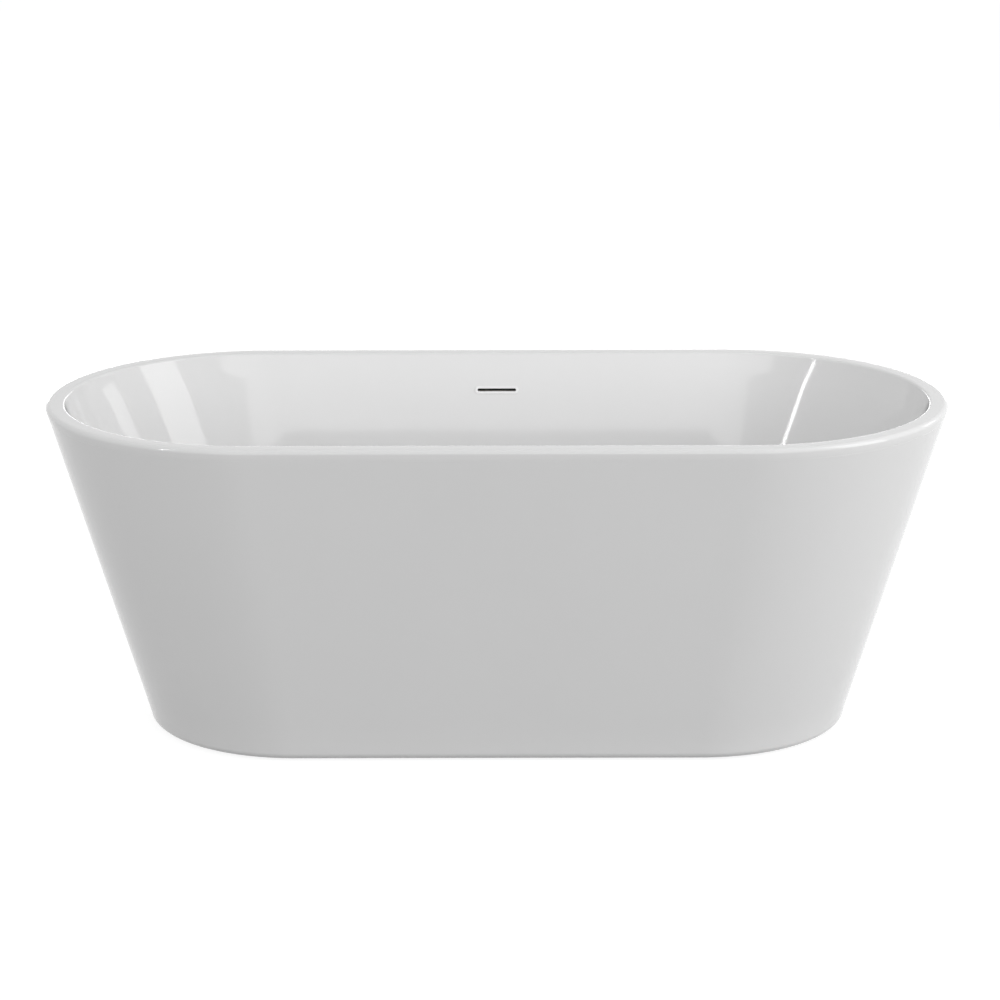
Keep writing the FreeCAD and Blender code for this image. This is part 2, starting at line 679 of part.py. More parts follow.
def drain_tee():
    """Waste body under the floor, with the side nozzle for the overflow hose."""
    neck_bore = DRAIN_TUBE_RADIUS + THREAD_GAP
    body = turned([
        (TEE_CHAMBER_BORE, TEE_BOTTOM_Z), (TEE_CHAMBER_RADIUS, TEE_BOTTOM_Z),
        (TEE_CHAMBER_RADIUS, TEE_NECK_Z - SKIN), (TEE_NECK_RADIUS, TEE_NECK_Z),
        (TEE_NECK_RADIUS, TEE_TOP_Z - TEE_FLANGE), (LOWER_GASKET_RADIUS, TEE_TOP_Z - TEE_FLANGE),
        (LOWER_GASKET_RADIUS, TEE_TOP_Z), (neck_bore, TEE_TOP_Z),
        (neck_bore, TEE_NECK_Z), (TEE_CHAMBER_BORE, TEE_NECK_Z),
    ])
    socket_top = TEE_BOTTOM_Z + TAIL_INSERT + THREAD_GAP
    body = body.cut(disc(TAIL_RADIUS + THREAD_GAP, TEE_BOTTOM_Z - PAST, socket_top))
    wall_y = (TEE_CHAMBER_BORE + TEE_CHAMBER_RADIUS) / 2
    start = V(0, wall_y, TEE_NOZZLE_Z)
    nozzle = Part.makeCylinder(NOZZLE_RADIUS, TEE_NOZZLE_END_Y - wall_y, start, V(0, 1, 0))
    bore = Part.makeCylinder(NOZZLE_BORE, TEE_NOZZLE_END_Y, V(0, PAST, TEE_NOZZLE_Z), V(0, 1, 0))
    return body.fuse(nozzle).cut(bore)


def drain_slip_nut():
    """Hexagonal nut that clamps the tailpiece's washer against the tee."""
    low_z = TEE_BOTTOM_Z - SLIP_NUT_BELOW
    high_z = TEE_BOTTOM_Z + SLIP_NUT_ABOVE
    nut = hexagon(SLIP_NUT_FLATS, low_z, high_z)
    nut = nut.cut(disc(TEE_CHAMBER_RADIUS + THREAD_GAP, low_z + SLIP_NUT_RIM, high_z + PAST))
    return nut.cut(disc(TAIL_RADIUS + THREAD_GAP, low_z - PAST, high_z))


def drain_slip_washer():
    """Cone washer between the slip nut and the tee."""
    low_z = TEE_BOTTOM_Z - SLIP_NUT_BELOW + SLIP_NUT_RIM
    return ring(TEE_CHAMBER_RADIUS, TAIL_RADIUS + THREAD_GAP, low_z, TEE_BOTTOM_Z)


def drain_tailpiece():
    """Outlet pipe with the raised ring that a trap's connector pushes up to."""
    pipe = ring(TAIL_RADIUS, TAIL_RADIUS - TAIL_WALL, TAIL_BOTTOM_Z, TEE_BOTTOM_Z + TAIL_INSERT)
    bead_top_z = TEE_BOTTOM_Z - SLIP_NUT_BELOW - TAIL_BEAD_GAP
    return pipe.fuse(ring(TAIL_BEAD_RADIUS, TAIL_RADIUS - TAIL_WALL / 2, bead_top_z - TAIL_BEAD, bead_top_z))


# ---------------------------------------------------------------- click plug

SEAL_Z = FLANGE_FACE_Z + PLUG_REST_GAP
CAP_Z = SEAL_Z + PLUG_SEAL_THICK
CARTRIDGE_TOP_Z = SPIDER_TOP_Z + CARTRIDGE_ABOVE


def plug_cap():
    """Domed cap with the boss that takes the stem."""
    dome_z = CAP_Z + PLUG_CAP_EDGE
    radius = (PLUG_CAP_RADIUS ** 2 + PLUG_CAP_DOME ** 2) / (2 * PLUG_CAP_DOME)
    sphere = Part.makeSphere(radius, V(0, 0, dome_z + PLUG_CAP_DOME - radius))
    cap = disc(PLUG_CAP_RADIUS, CAP_Z, dome_z + PLUG_CAP_DOME).common(sphere)
    boss = disc(PLUG_BOSS_RADIUS, CAP_Z - PLUG_BOSS, CAP_Z)
    return cap.fuse(boss).cut(disc(PLUG_STEM_RADIUS, CAP_Z - PLUG_BOSS - PAST, CAP_Z))


def plug_stem():
    """Rod from the cap's boss down into the cartridge."""
    return disc(PLUG_STEM_RADIUS, CARTRIDGE_TOP_Z - PLUG_STEM_IN, CAP_Z)


def click_cartridge():
    """Sleeve of the click mechanism, its lip resting on the spider's hub."""
    sleeve = disc(CARTRIDGE_RADIUS, SPIDER_TOP_Z - SPIDER_THICK - CARTRIDGE_BELOW, CARTRIDGE_TOP_Z)
    lip = disc(CARTRIDGE_LIP_RADIUS, SPIDER_TOP_Z, SPIDER_TOP_Z + CARTRIDGE_LIP)
    bore_z = CARTRIDGE_TOP_Z - PLUG_STEM_IN - 2 * PAST
    bore = disc(PLUG_STEM_RADIUS + STEM_CLEARANCE, bore_z, CARTRIDGE_TOP_Z + PAST)
    return sleeve.fuse(lip).cut(bore)


# ---------------------------------------------------------------- overflow

def overflow_trim():
    """Slim surround on the bathing surface around the slot."""
    half_height = SLOT_HEIGHT / 2 + TRIM_BORDER
    half = SLOT_LENGTH / 2 - SLOT_HEIGHT / 2
    plate = box(-half, half, -TRIM_PROUD, 0, -half_height, half_height)
    for x in (-half, half):
        plate = plate.fuse(Part.makeCylinder(half_height, TRIM_PROUD, V(x, -TRIM_PROUD, 0), V(0, 1, 0)))
    return on_wall(plate.removeSplitter()).cut(slot_cutter())


def overflow_plate(half_length, depth, thick):
    """Flat plate behind the wall, as tall as the overflow body."""
    return box(-half_length, half_length, depth, depth + thick, -OVERFLOW_BELOW, OVERFLOW_ABOVE)


def overflow_gasket():
    """Gasket between the laminate and the overflow body."""
    plate = overflow_plate(OVERFLOW_HALF_LENGTH + OVERFLOW_EAR, BASIN_BACK, OVERFLOW_GASKET)
    half = OVERFLOW_HALF_LENGTH - 2 * OVERFLOW_WALL
    window = box(-half, half, 0, OVERFLOW_DEPTH + BASIN_BACK, -2 * SLOT_HEIGHT, 2 * SLOT_HEIGHT)
    return on_wall(plate.cut(window)).cut(screw_holes(SKIN, OVERFLOW_DEPTH))


NOZZLE_DEPTH = BASIN_BACK + OVERFLOW_GASKET + OVERFLOW_DEPTH - NOZZLE_FROM_BACK


def overflow_body():
    """Shallow box behind the slot, with ears for its screws and a nozzle for the hose."""
    front = BASIN_BACK + OVERFLOW_GASKET
    wall = OVERFLOW_WALL
    body = overflow_plate(OVERFLOW_HALF_LENGTH, front, OVERFLOW_DEPTH)
    body = body.fuse(overflow_plate(OVERFLOW_HALF_LENGTH + OVERFLOW_EAR, front, OVERFLOW_EAR_THICK))
    nozzle_z = -OVERFLOW_BELOW - NOZZLE_LENGTH
    nozzle = Part.makeCylinder(NOZZLE_RADIUS, NOZZLE_LENGTH + wall, V(0, NOZZLE_DEPTH, nozzle_z), UP)
    start = V(0, NOZZLE_DEPTH, nozzle_z - wall / 2)
    bore = Part.makeCylinder(NOZZLE_BORE, NOZZLE_LENGTH + 2 * wall, start, UP)
    half = OVERFLOW_HALF_LENGTH - wall
    back = front + OVERFLOW_DEPTH - wall
    cavity = box(-half, half, front - PAST, back, wall - OVERFLOW_BELOW, OVERFLOW_ABOVE - wall)
    body = body.fuse(nozzle).cut(cavity).cut(bore)
    return on_wall(body).cut(screw_holes(front - PAST, front + OVERFLOW_EAR_THICK + PAST))


def overflow_screws():
    """Short screws that hold the overflow body's ears to the laminate."""
    screws = []
    face = BASIN_BACK + OVERFLOW_GASKET + OVERFLOW_EAR_THICK
    for x, z in overflow_screw_places():
        shank = Part.makeCylinder(OVERFLOW_SCREW_RADIUS, face - SKIN, V(x, SKIN, z), V(0, 1, 0))
        head = Part.makeCylinder(OVERFLOW_SCREW_HEAD_RADIUS, OVERFLOW_SCREW_HEAD, V(x, face, z), V(0, 1, 0))
        screws.append(shank.fuse(head))
    return on_wall(Part.makeCompound(screws))


def rounded_path(points, radii):
    """Wire of straight runs joined by arcs tangent to both."""
    edges = []
    start = points[0]
    for k in range(1, len(points) - 1):
        before = (points[k - 1] - points[k]).normalize()
        after = (points[k + 1] - points[k]).normalize()
        half_turn = (math.pi - before.getAngle(after)) / 2
        trim = radii[k - 1] * math.tan(half_turn)
        enter = points[k] + before * trim
        leave = points[k] + after * trim
        inwards = (before + after).normalize()
        reach = radii[k - 1] / math.cos(half_turn) - radii[k - 1]
        edges.append(Part.LineSegment(start, enter).toShape())
        edges.append(Part.Arc(enter, points[k] + inwards * reach, leave).toShape())
        start = leave
    edges.append(Part.LineSegment(start, points[-1]).toShape())
    return Part.Wire(edges)


def hose_points():
    """The overflow hose's route: down the nozzle's line, down between the shells, then in under the rail."""
    lean = math.radians(WALL_LEAN)
    down = V(0, -math.sin(lean), -math.cos(lean))
    out = V(0, math.cos(lean), -math.sin(lean))
    slot = V(0, SLOT_Y, SLOT_Z)
    nozzle_end = slot + out * NOZZLE_DEPTH + down * (OVERFLOW_BELOW + NOZZLE_LENGTH)
    start = nozzle_end - down * HOSE_ON_NOZZLE
    knee_z = FLOOR_Z + SIDE_CORNER
    knee = nozzle_end + down * ((nozzle_end.z - knee_z) / math.cos(lean))
    skirt_y = skirt_half(TEE_NOZZLE_Z)[1] - SKIN - SKIRT_LAMINATE
    corner = V(0, skirt_y - HOSE_FROM_SKIRT - HOSE_RADIUS, TEE_NOZZLE_Z)
    end = V(0, TEE_NOZZLE_END_Y - HOSE_ON_NOZZLE, TEE_NOZZLE_Z)
    return [start, knee, corner, end]


def tube_along(path, radius):
    """Solid of round section along a wire."""
    first = path.Edges[0]
    start = path.OrderedVertexes[0].Point
    direction = first.tangentAt(first.FirstParameter)
    circle = Part.Wire([Part.makeCircle(radius, start, direction)])
    return path.makePipeShell([circle], True, False)


def overflow_hose():
    """Hose pushed over both nozzles."""
    path = rounded_path(hose_points(), [HOSE_UPPER_BEND, HOSE_BEND])
    return tube_along(path, HOSE_RADIUS).cut(tube_along(path, HOSE_BORE))


def hose_clip(centre, direction):
    """Worm-drive clip around the hose."""
    inner = HOSE_RADIUS + CLIP_CLEARANCE
    band = ring(inner + CLIP_THICK, inner, -CLIP_WIDTH / 2, CLIP_WIDTH / 2)
    half = CLIP_SCREW_BLOCK / 2
    edge = inner + CLIP_THICK / 2
    block = box(edge, edge + CLIP_SCREW_BLOCK, -CLIP_SCREW_BLOCK, CLIP_SCREW_BLOCK, -half, half)
    clip = band.fuse(block)
    clip.Placement = FreeCAD.Placement(centre, FreeCAD.Rotation(UP, direction))
    return clip


def hose_clips():
    """Clip around each end of the hose, in the middle of the nozzle inside."""
    start, knee, corner, end = hose_points()
    first = (knee - start).normalize()
    last = (end - corner).normalize()
    middle = HOSE_ON_NOZZLE / 2
    return hose_clip(start + first * middle, first), hose_clip(end - last * middle, last)


# ---------------------------------------------------------------- all the pieces

def pieces():
    """Every piece by name."""
    clip_top, clip_bottom = hose_clips()
    parts = {
        "basin_shell": basin_shell(),
        "basin_laminate": basin_laminate(),
        "skirt_shell": skirt_shell(),
        "skirt_laminate": skirt_laminate(),
        "rim_bond_strip": rim_bond_strip(),
        "base_board": base_board(),
        "frame_rail_front": frame_rail(-1),
        "frame_rail_rear": frame_rail(1),
        "frame_cross_end_left": frame_cross(-END_CROSS_X, True),
        "frame_cross_end_right": frame_cross(END_CROSS_X, True),
        "frame_cross_mid_left": frame_cross(-MID_CROSS_X, False),
        "frame_cross_mid_right": frame_cross(MID_CROSS_X, False),
        "frame_end_caps": frame_end_caps(),
        "frame_screws": frame_screws(),
        "foot_weld_nuts": foot_nuts(RAIL_Z),
        "foot_lock_nuts": foot_nuts(RAIL_Z - FOOT_NUT_HEIGHT),
        "skirt_brackets_side": brackets("side"),
        "skirt_brackets_end": brackets("end"),
        "skirt_bracket_bolts": bracket_bolts(),
        "skirt_flange_screws": flange_screws(),
        "drain_flange": drain_flange(),
        "drain_gasket_top": ring(UPPER_GASKET_RADIUS, DRAIN_HOLE_RADIUS, FLOOR_Z, FLANGE_Z),
        "drain_gasket_bottom": ring(
            LOWER_GASKET_RADIUS, DRAIN_TUBE_RADIUS + THREAD_GAP, TEE_TOP_Z, BOARD_TOP_Z),
        "drain_tee": drain_tee(),
        "drain_tailpiece": drain_tailpiece(),
        "drain_slip_nut": drain_slip_nut(),
        "drain_slip_washer": drain_slip_washer(),
        "click_cartridge": click_cartridge(),
        "plug_cap": plug_cap(),
        "plug_seal": ring(PLUG_SEAL_OUTER, PLUG_SEAL_INNER, SEAL_Z, CAP_Z),
        "plug_stem": plug_stem(),
        "overflow_trim": overflow_trim(),
        "overflow_gasket": overflow_gasket(),
        "overflow_body": overflow_body(),
        "overflow_screws": overflow_screws(),
        "overflow_hose": overflow_hose(),
        "hose_clip_top": clip_top,
        "hose_clip_bottom": clip_bottom,
    }
    for name, (x, y) in FEET.items():
        parts["foot_pad_" + name] = foot_pad(x, y)
        parts["foot_stem_" + name] = foot_stem(x, y)
    return parts


def main():
    """Writes one STEP file for each piece."""
    os.makedirs("parts", exist_ok=True)
    for name, shape in pieces().items():
        print(name, len(shape.Solids), shape.isValid())
        shape.exportStep("parts/" + name + ".step")


main()
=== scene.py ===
"""Freestanding bathtub: the finished look of every piece, built around its fixed frame.

Metres, +Z up, the origin on the floor under the middle of the tub, the overflow on the +Y side.
"""
import math

import bmesh
import bpy
from mathutils import Matrix, Vector


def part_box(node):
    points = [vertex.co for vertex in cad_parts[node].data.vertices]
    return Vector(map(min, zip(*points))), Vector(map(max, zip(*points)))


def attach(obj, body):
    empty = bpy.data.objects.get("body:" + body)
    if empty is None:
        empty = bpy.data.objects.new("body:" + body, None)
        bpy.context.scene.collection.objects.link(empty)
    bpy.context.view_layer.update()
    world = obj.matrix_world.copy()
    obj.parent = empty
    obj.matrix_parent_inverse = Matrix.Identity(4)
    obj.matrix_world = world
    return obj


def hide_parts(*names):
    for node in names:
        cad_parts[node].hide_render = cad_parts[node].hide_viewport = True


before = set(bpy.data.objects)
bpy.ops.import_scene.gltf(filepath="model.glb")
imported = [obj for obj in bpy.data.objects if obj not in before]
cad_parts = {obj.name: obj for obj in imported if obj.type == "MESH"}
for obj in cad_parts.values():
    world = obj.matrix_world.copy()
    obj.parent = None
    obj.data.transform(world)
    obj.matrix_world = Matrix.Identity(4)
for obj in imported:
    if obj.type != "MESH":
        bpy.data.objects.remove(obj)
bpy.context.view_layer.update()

bl_info = {
    "name": "Freestanding bathtub",
    "version": (1, 0, 0),
    "blender": (4, 5, 0),
    "location": "View3D > Sidebar > Bathtub",
    "description": "Makes the shells, waste, overflow, frame and feet of a freestanding bathtub",
    "category": "Object",
}

MM = 0.001
QUARTER = math.pi / 2
# A hexagon's flat end face, as a share of the width across its flats.
CROWN = 0.98
# Bores of the waste's plastic parts, each a running fit on the tube or thread that goes through it.
TUBE_BORE = 23.1 * MM
TAIL_BORE = 20.1 * MM
CHAMBER_BORE = 24.1 * MM
BASIN_LOW, BASIN_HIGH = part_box("basin_shell")
SKIRT_LOW, SKIRT_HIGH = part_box("skirt_shell")


def linear(hex_colour):
    """Linear RGBA of an sRGB hex colour."""
    values = [int(hex_colour[k:k + 2], 16) / 255 for k in (1, 3, 5)]
    return [v / 12.92 if v <= 0.04045 else ((v + 0.055) / 1.055) ** 2.4 for v in values] + [1.0]


def length(name, default, description):
    """Length property in metres."""
    return bpy.props.FloatProperty(
        name=name, default=default, description=description, unit="LENGTH", precision=5)


def slope(name, default, description):
    """Property for an outward run over a rise."""
    return bpy.props.FloatProperty(name=name, default=default, description=description, min=0.0, max=2.0)


def colour(name, hex_colour, description):
    """Colour property from an sRGB hex value."""
    return bpy.props.FloatVectorProperty(
        name=name, default=linear(hex_colour), description=description, subtype="COLOR", size=4, min=0, max=1)


# ---------------------------------------------------------------- settings

class TubSizes(bpy.types.PropertyGroup):
    """Sizes of the shells and fittings."""

    length: length("Length", 2 * round(BASIN_HIGH.x, 3), "Overall length of the rim")
    width: length("Width", 2 * round(BASIN_HIGH.y, 3), "Overall width of the rim")
    height: length("Height", BASIN_HIGH.z, "Height of the rim above the floor")
    base_length: length("Base length", 1.262, "Length of the skirt at its foot")
    base_width: length("Base width", 0.550, "Width of the skirt at its foot")
    rim_width: length("Rim width", 0.028, "Width of the flat rim with its two rounded edges")
    rim_outer_radius: length("Rim outer radius", 0.008, "Rounding of the rim's outer edge")
    rim_inner_radius: length("Rim inner radius", 0.005, "Rounding of the rim's inner edge")
    skin: length("Sheet thickness", 0.005, "Thickness of the acrylic sheet")
    seam: length("Seam", 0.0002, "Chamfer on each side of the seam between rim and skirt")
    foot_radius: length("Foot radius", 0.014, "Rounding of the skirt's foot")
    flange: length("Foot flange", 0.030, "Width of the skirt's turned-in flange")
    floor_z: length("Basin floor", BASIN_LOW.z + 0.005, "Height of the basin's floor")
    end_slope: slope("End slope", 0.47, "Outward run over rise of the basin's ends")
    side_slope: slope("Side slope", 0.235, "Outward run over rise of the basin's sides")
    end_corner: length("End corner", 0.110, "Radius between an end wall and the floor")
    side_corner: length("Side corner", 0.060, "Radius between a side wall and the floor")
    drain_hole: length("Drain hole", 0.024, "Radius of the hole for the waste")
    slot_drop: length("Slot drop", 0.068, "From the rim down to the middle of the overflow slot")
    slot_length: length("Slot length", 0.072, "Length of the overflow slot")
    slot_height: length("Slot height", 0.005, "Height of the overflow slot")
    trim_border: length("Trim border", 0.005, "Width of the slot's surround")
    trim_proud: length("Trim proud", 0.0015, "How far the slot's surround stands out")
    thread_pitch: length("Thread pitch", 0.00175, "Pitch of the foot stems' thread")
    thread_depth: length("Thread depth", 0.0009, "Depth of the foot stems' thread")
    tube_radius: length("Tube corner", 0.003, "Corner radius of the frame's square tubes")
    tube_wall: length("Tube wall", 0.002, "Wall of the frame's square tubes")
    rib_pitch: length("Hose rib pitch", 0.0045, "Distance from rib to rib on the overflow hose")
    rib_depth: length("Hose rib depth", 0.0012, "Depth of the overflow hose's ribs")


class TubColours(bpy.types.PropertyGroup):
    """Colours of the finishes."""

    acrylic: colour("Acrylic", "#F0F0F0", "White of the acrylic sheet")
    acrylic_shade: colour("Acrylic shade", "#EDEDED", "Second white that the sheet drifts to")
    trim: colour("Trim", "#FFFFFF", "White of the slot's surround")
    resin: colour("Resin", "#CFC8A8", "Glass fibre and resin")
    strand: colour("Strand", "#E6E2CF", "Glass strands in the resin")
    veneer: colour("Veneer", "#C9A26F", "Face veneer of the board")
    grain: colour("Grain", "#A57A49", "Dark grain of the board")
    ply: colour("Ply", "#8A6238", "Glue lines in the board's edge")
    powder: colour("Powder coat", "#4C4F54", "Frame's powder coat")
    zinc: colour("Zinc", "#C6C8CA", "Zinc plate and galvanised sheet")
    zinc_dark: colour("Zinc shade", "#9FA3A7", "Darker grains of galvanised sheet")
    chrome: colour("Chrome", "#E4E6E8", "Chrome plate")
    brass: colour("Brass", "#C9A55C", "Turned brass")
    rubber: colour("Rubber", "#101010", "Seals and washers")
    nylon: colour("Nylon", "#202122", "Pads, caps and overflow box")
    waste: colour("Waste plastic", "#E2E1DC", "White polypropylene of the waste")
    hose: colour("Hose", "#9A9DA0", "Grey polythene of the hose")
    floor: colour("Floor", "#9C9C9C", "Studio floor, as it lights the tub")


def sizes():
    """The size settings."""
    return bpy.context.scene.tub_sizes


def colours():
    """The colour settings."""
    return bpy.context.scene.tub_colours


# ---------------------------------------------------------------- nodes

def add_node(tree, kind, sockets=None, **settings):
    """Adds a node; sockets gives values or links by socket name or number, settings its own options."""
    made = tree.nodes.new(kind)
    for key, value in settings.items():
        setattr(made, key, value)
    for key, value in (sockets or {}).items():
        if isinstance(value, bpy.types.NodeSocket):
            tree.links.new(value, made.inputs[key])
        else:
            made.inputs[key].default_value = value
    return made


def new_material(name, sockets):
    """Material with one Principled shader; returns the material, its tree, shader and object coordinates."""
    material = bpy.data.materials.new(name)
    material.use_nodes = True
    tree = material.node_tree
    tree.nodes.clear()
    shader = add_node(tree, "ShaderNodeBsdfPrincipled", sockets)
    add_node(tree, "ShaderNodeOutputMaterial", {"Surface": shader.outputs["BSDF"]})
    place = add_node(tree, "ShaderNodeTexCoord").outputs["Object"]
    return material, tree, shader, place


def per_metre(size):
    """Texture scale for features of one size in metres."""
    return 1 / size


def two_tone(tree, shader, factor, first, second):
    """Colours the shader between two colours by a factor."""
    mix = add_node(tree, "ShaderNodeMix", {"Factor": factor}, data_type="RGBA")
    mix.inputs[6].default_value = first
    mix.inputs[7].default_value = second
    tree.links.new(mix.outputs[2], shader.inputs["Base Color"])
    return mix


def relief(tree, shader, height, depth, strength=1.0):
    """Surface relief of a real depth from a height between 0 and 1."""
    bump = add_node(tree, "ShaderNodeBump", {"Height": height, "Distance": depth, "Strength": strength})
    tree.links.new(bump.outputs["Normal"], shader.inputs["Normal"])


def roughness_between(tree, shader, factor, low, high):
    """Roughness that drifts between two values with a factor."""
    span = add_node(tree, "ShaderNodeMapRange", {"Value": factor, "To Min": low, "To Max": high})
    tree.links.new(span.outputs["Result"], shader.inputs["Roughness"])


def noise(tree, place, size, detail=2.0):
    """Noise with features of one size in metres."""
    made = add_node(tree, "ShaderNodeTexNoise", {"Vector": place, "Scale": per_metre(size), "Detail": detail})
    return made.outputs["Fac"]


# ---------------------------------------------------------------- finishes

def cast_acrylic():
    """Cast acrylic (PMMA) sheet drawn over a mould: deep gloss, faint orange peel, nearly even white."""
    c = colours()
    material, tree, shader, place = new_material(
        "Cast acrylic, vacuum-formed gloss white", {"IOR": 1.49, "Specular IOR Level": 0.5})
    two_tone(tree, shader, noise(tree, place, 0.25), c.acrylic, c.acrylic_shade)
    roughness_between(tree, shader, noise(tree, place, 0.04), 0.05, 0.09)
    relief(tree, shader, noise(tree, place, 0.012, 1.0), 0.01 * MM)
    return material


def moulded_trim():
    """Injection-moulded ABS: whiter and a little duller than the sheet around it."""
    c = colours()
    material, tree, shader, place = new_material("Moulded ABS, polished white", {"IOR": 1.53})
    two_tone(tree, shader, noise(tree, place, 0.01), c.trim, linear("#FAFAFA"))
    roughness_between(tree, shader, noise(tree, place, 0.003), 0.12, 0.2)
    relief(tree, shader, noise(tree, place, 0.001), 0.01 * MM)
    return material


def glass_fibre():
    """Chopped glass strand in polyester resin, rolled by hand: matt, lumpy, with pale strands on top."""
    c = colours()
    material, tree, shader, place = new_material("Glass fibre and polyester, hand laid", {"IOR": 1.55})
    strands = add_node(tree, "ShaderNodeTexVoronoi", {"Vector": place, "Scale": per_metre(0.009)},
                       feature="DISTANCE_TO_EDGE")
    edge = add_node(tree, "ShaderNodeMapRange", {"Value": strands.outputs["Distance"], "From Max": 0.12,
                                                 "To Min": 1.0, "To Max": 0.0})
    two_tone(tree, shader, edge.outputs["Result"], c.resin, c.strand)
    lumps = noise(tree, place, 0.03, 6.0)
    height = add_node(tree, "ShaderNodeMath", {0: lumps, 1: edge.outputs["Result"]}, operation="ADD")
    roughness_between(tree, shader, lumps, 0.45, 0.75)
    relief(tree, shader, height.outputs["Value"], 0.6 * MM)
    return material


def birch_plywood():
    """Rotary-cut birch plywood: long wavy grain on its faces and thin glue lines along its edges."""
    c = colours()
    material, tree, shader, place = new_material("Birch plywood, sanded", {"IOR": 1.5})
    stretched = add_node(tree, "ShaderNodeMapping", {"Vector": place, "Scale": (0.08, 1.0, 1.0)})
    grain = noise(tree, stretched.outputs["Vector"], 0.006, 8.0)
    mix = two_tone(tree, shader, grain, c.veneer, c.grain)
    plies = add_node(tree, "ShaderNodeTexWave", {"Vector": place, "Scale": per_metre(0.003) / math.tau * 3,
                                                 "Distortion": 0.4}, bands_direction="Z")
    line = add_node(tree, "ShaderNodeMapRange",
                    {"Value": plies.outputs["Fac"], "From Min": 0.8, "To Max": 0.6})
    edge = add_node(tree, "ShaderNodeMix", {"Factor": line.outputs["Result"]}, data_type="RGBA")
    tree.links.new(mix.outputs[2], edge.inputs[6])
    edge.inputs[7].default_value = c.ply
    tree.links.new(edge.outputs[2], shader.inputs["Base Color"])
    roughness_between(tree, shader, grain, 0.5, 0.7)
    relief(tree, shader, grain, 0.15 * MM)
    return material


def powder_coat():
    """Polyester powder baked on steel: satin grey with a fine orange peel."""
    c = colours()
    material, tree, shader, place = new_material("Powder-coated steel, satin grey", {"IOR": 1.5})
    two_tone(tree, shader, noise(tree, place, 0.05), c.powder, linear("#54575C"))
    roughness_between(tree, shader, noise(tree, place, 0.01), 0.32, 0.45)
    relief(tree, shader, noise(tree, place, 0.0015), 0.06 * MM)
    return material


def galvanised_sheet():
    """Hot-dipped zinc on steel sheet: grains a few millimetres wide, each with its own shade."""
    c = colours()
    material, tree, shader, place = new_material("Galvanised sheet, spangled", {"Metallic": 1.0})
    spangle = add_node(tree, "ShaderNodeTexVoronoi", {"Vector": place, "Scale": per_metre(0.006)})
    grey = add_node(tree, "ShaderNodeRGBToBW", {"Color": spangle.outputs["Color"]})
    two_tone(tree, shader, grey.outputs["Val"], c.zinc, c.zinc_dark)
    roughness_between(tree, shader, grey.outputs["Val"], 0.28, 0.5)
    relief(tree, shader, noise(tree, place, 0.004), 0.02 * MM)
    return material


def zinc_plate():
    """Bright zinc plate on cold-headed fasteners: soft gleam with faint turning marks."""
    c = colours()
    material, tree, shader, place = new_material("Zinc-plated steel, bright", {"Metallic": 1.0})
    marks = noise(tree, place, 0.0006, 3.0)
    two_tone(tree, shader, noise(tree, place, 0.004), c.zinc, c.zinc_dark)
    roughness_between(tree, shader, marks, 0.22, 0.38)
    relief(tree, shader, marks, 0.01 * MM)
    return material


def chrome_plate():
    """Nickel and chrome on polished brass: mirror bright, with only a trace of polishing haze."""
    c = colours()
    material, tree, shader, place = new_material("Chrome plate, polished", {"Metallic": 1.0})
    two_tone(tree, shader, noise(tree, place, 0.01), c.chrome, linear("#DDDFE2"))
    roughness_between(tree, shader, noise(tree, place, 0.002, 4.0), 0.04, 0.1)
    relief(tree, shader, noise(tree, place, 0.006), 0.002 * MM)
    return material


def turned_brass():
    """Brass bar turned on a lathe: fine rings around its axis."""
    c = colours()
    material, tree, shader, place = new_material("Brass, turned", {"Metallic": 1.0})
    rings = add_node(tree, "ShaderNodeTexWave", {"Vector": place, "Scale": per_metre(0.0004) / math.tau},
                     bands_direction="Z")
    two_tone(tree, shader, noise(tree, place, 0.003), c.brass, linear("#B8934C"))
    roughness_between(tree, shader, rings.outputs["Fac"], 0.22, 0.34)
    relief(tree, shader, rings.outputs["Fac"], 0.01 * MM)
    return material


def moulded_rubber():
    """EPDM rubber moulded in a matt tool: nearly black, soft sheen, fine grain."""
    c = colours()
    material, tree, shader, place = new_material(
        "EPDM rubber, moulded", {"IOR": 1.52, "Specular IOR Level": 0.25})
    two_tone(tree, shader, noise(tree, place, 0.005), c.rubber, linear("#181818"))
    roughness_between(tree, shader, noise(tree, place, 0.001), 0.7, 0.9)
    relief(tree, shader, noise(tree, place, 0.0005), 0.03 * MM)
    return material


def black_nylon():
    """Glass-filled nylon, moulded: black with a fine spark-eroded texture."""
    c = colours()
    material, tree, shader, place = new_material("Nylon, moulded black", {"IOR": 1.53})
    two_tone(tree, shader, noise(tree, place, 0.004), c.nylon, linear("#2B2C2E"))
    roughness_between(tree, shader, noise(tree, place, 0.002), 0.4, 0.55)
    relief(tree, shader, noise(tree, place, 0.0007, 3.0), 0.04 * MM)
    return material


def white_polypropylene():
    """Polypropylene moulding: warm white, waxy, softly shining."""
    c = colours()
    material, tree, shader, place = new_material("Polypropylene, moulded white", {"IOR": 1.49})
    two_tone(tree, shader, noise(tree, place, 0.02), c.waste, linear("#DAD9D2"))
    roughness_between(tree, shader, noise(tree, place, 0.003), 0.3, 0.42)
    relief(tree, shader, noise(tree, place, 0.001), 0.02 * MM)
    return material


def grey_polythene():
    """Blow-moulded polythene hose: mid grey, waxy, with faint flow marks."""
    c = colours()
    material, tree, shader, place = new_material("Polythene hose, blow-moulded grey", {"IOR": 1.51})
    two_tone(tree, shader, noise(tree, place, 0.006), c.hose, linear("#8C8F92"))
    roughness_between(tree, shader, noise(tree, place, 0.002), 0.35, 0.5)
    relief(tree, shader, noise(tree, place, 0.001), 0.03 * MM)
    return material


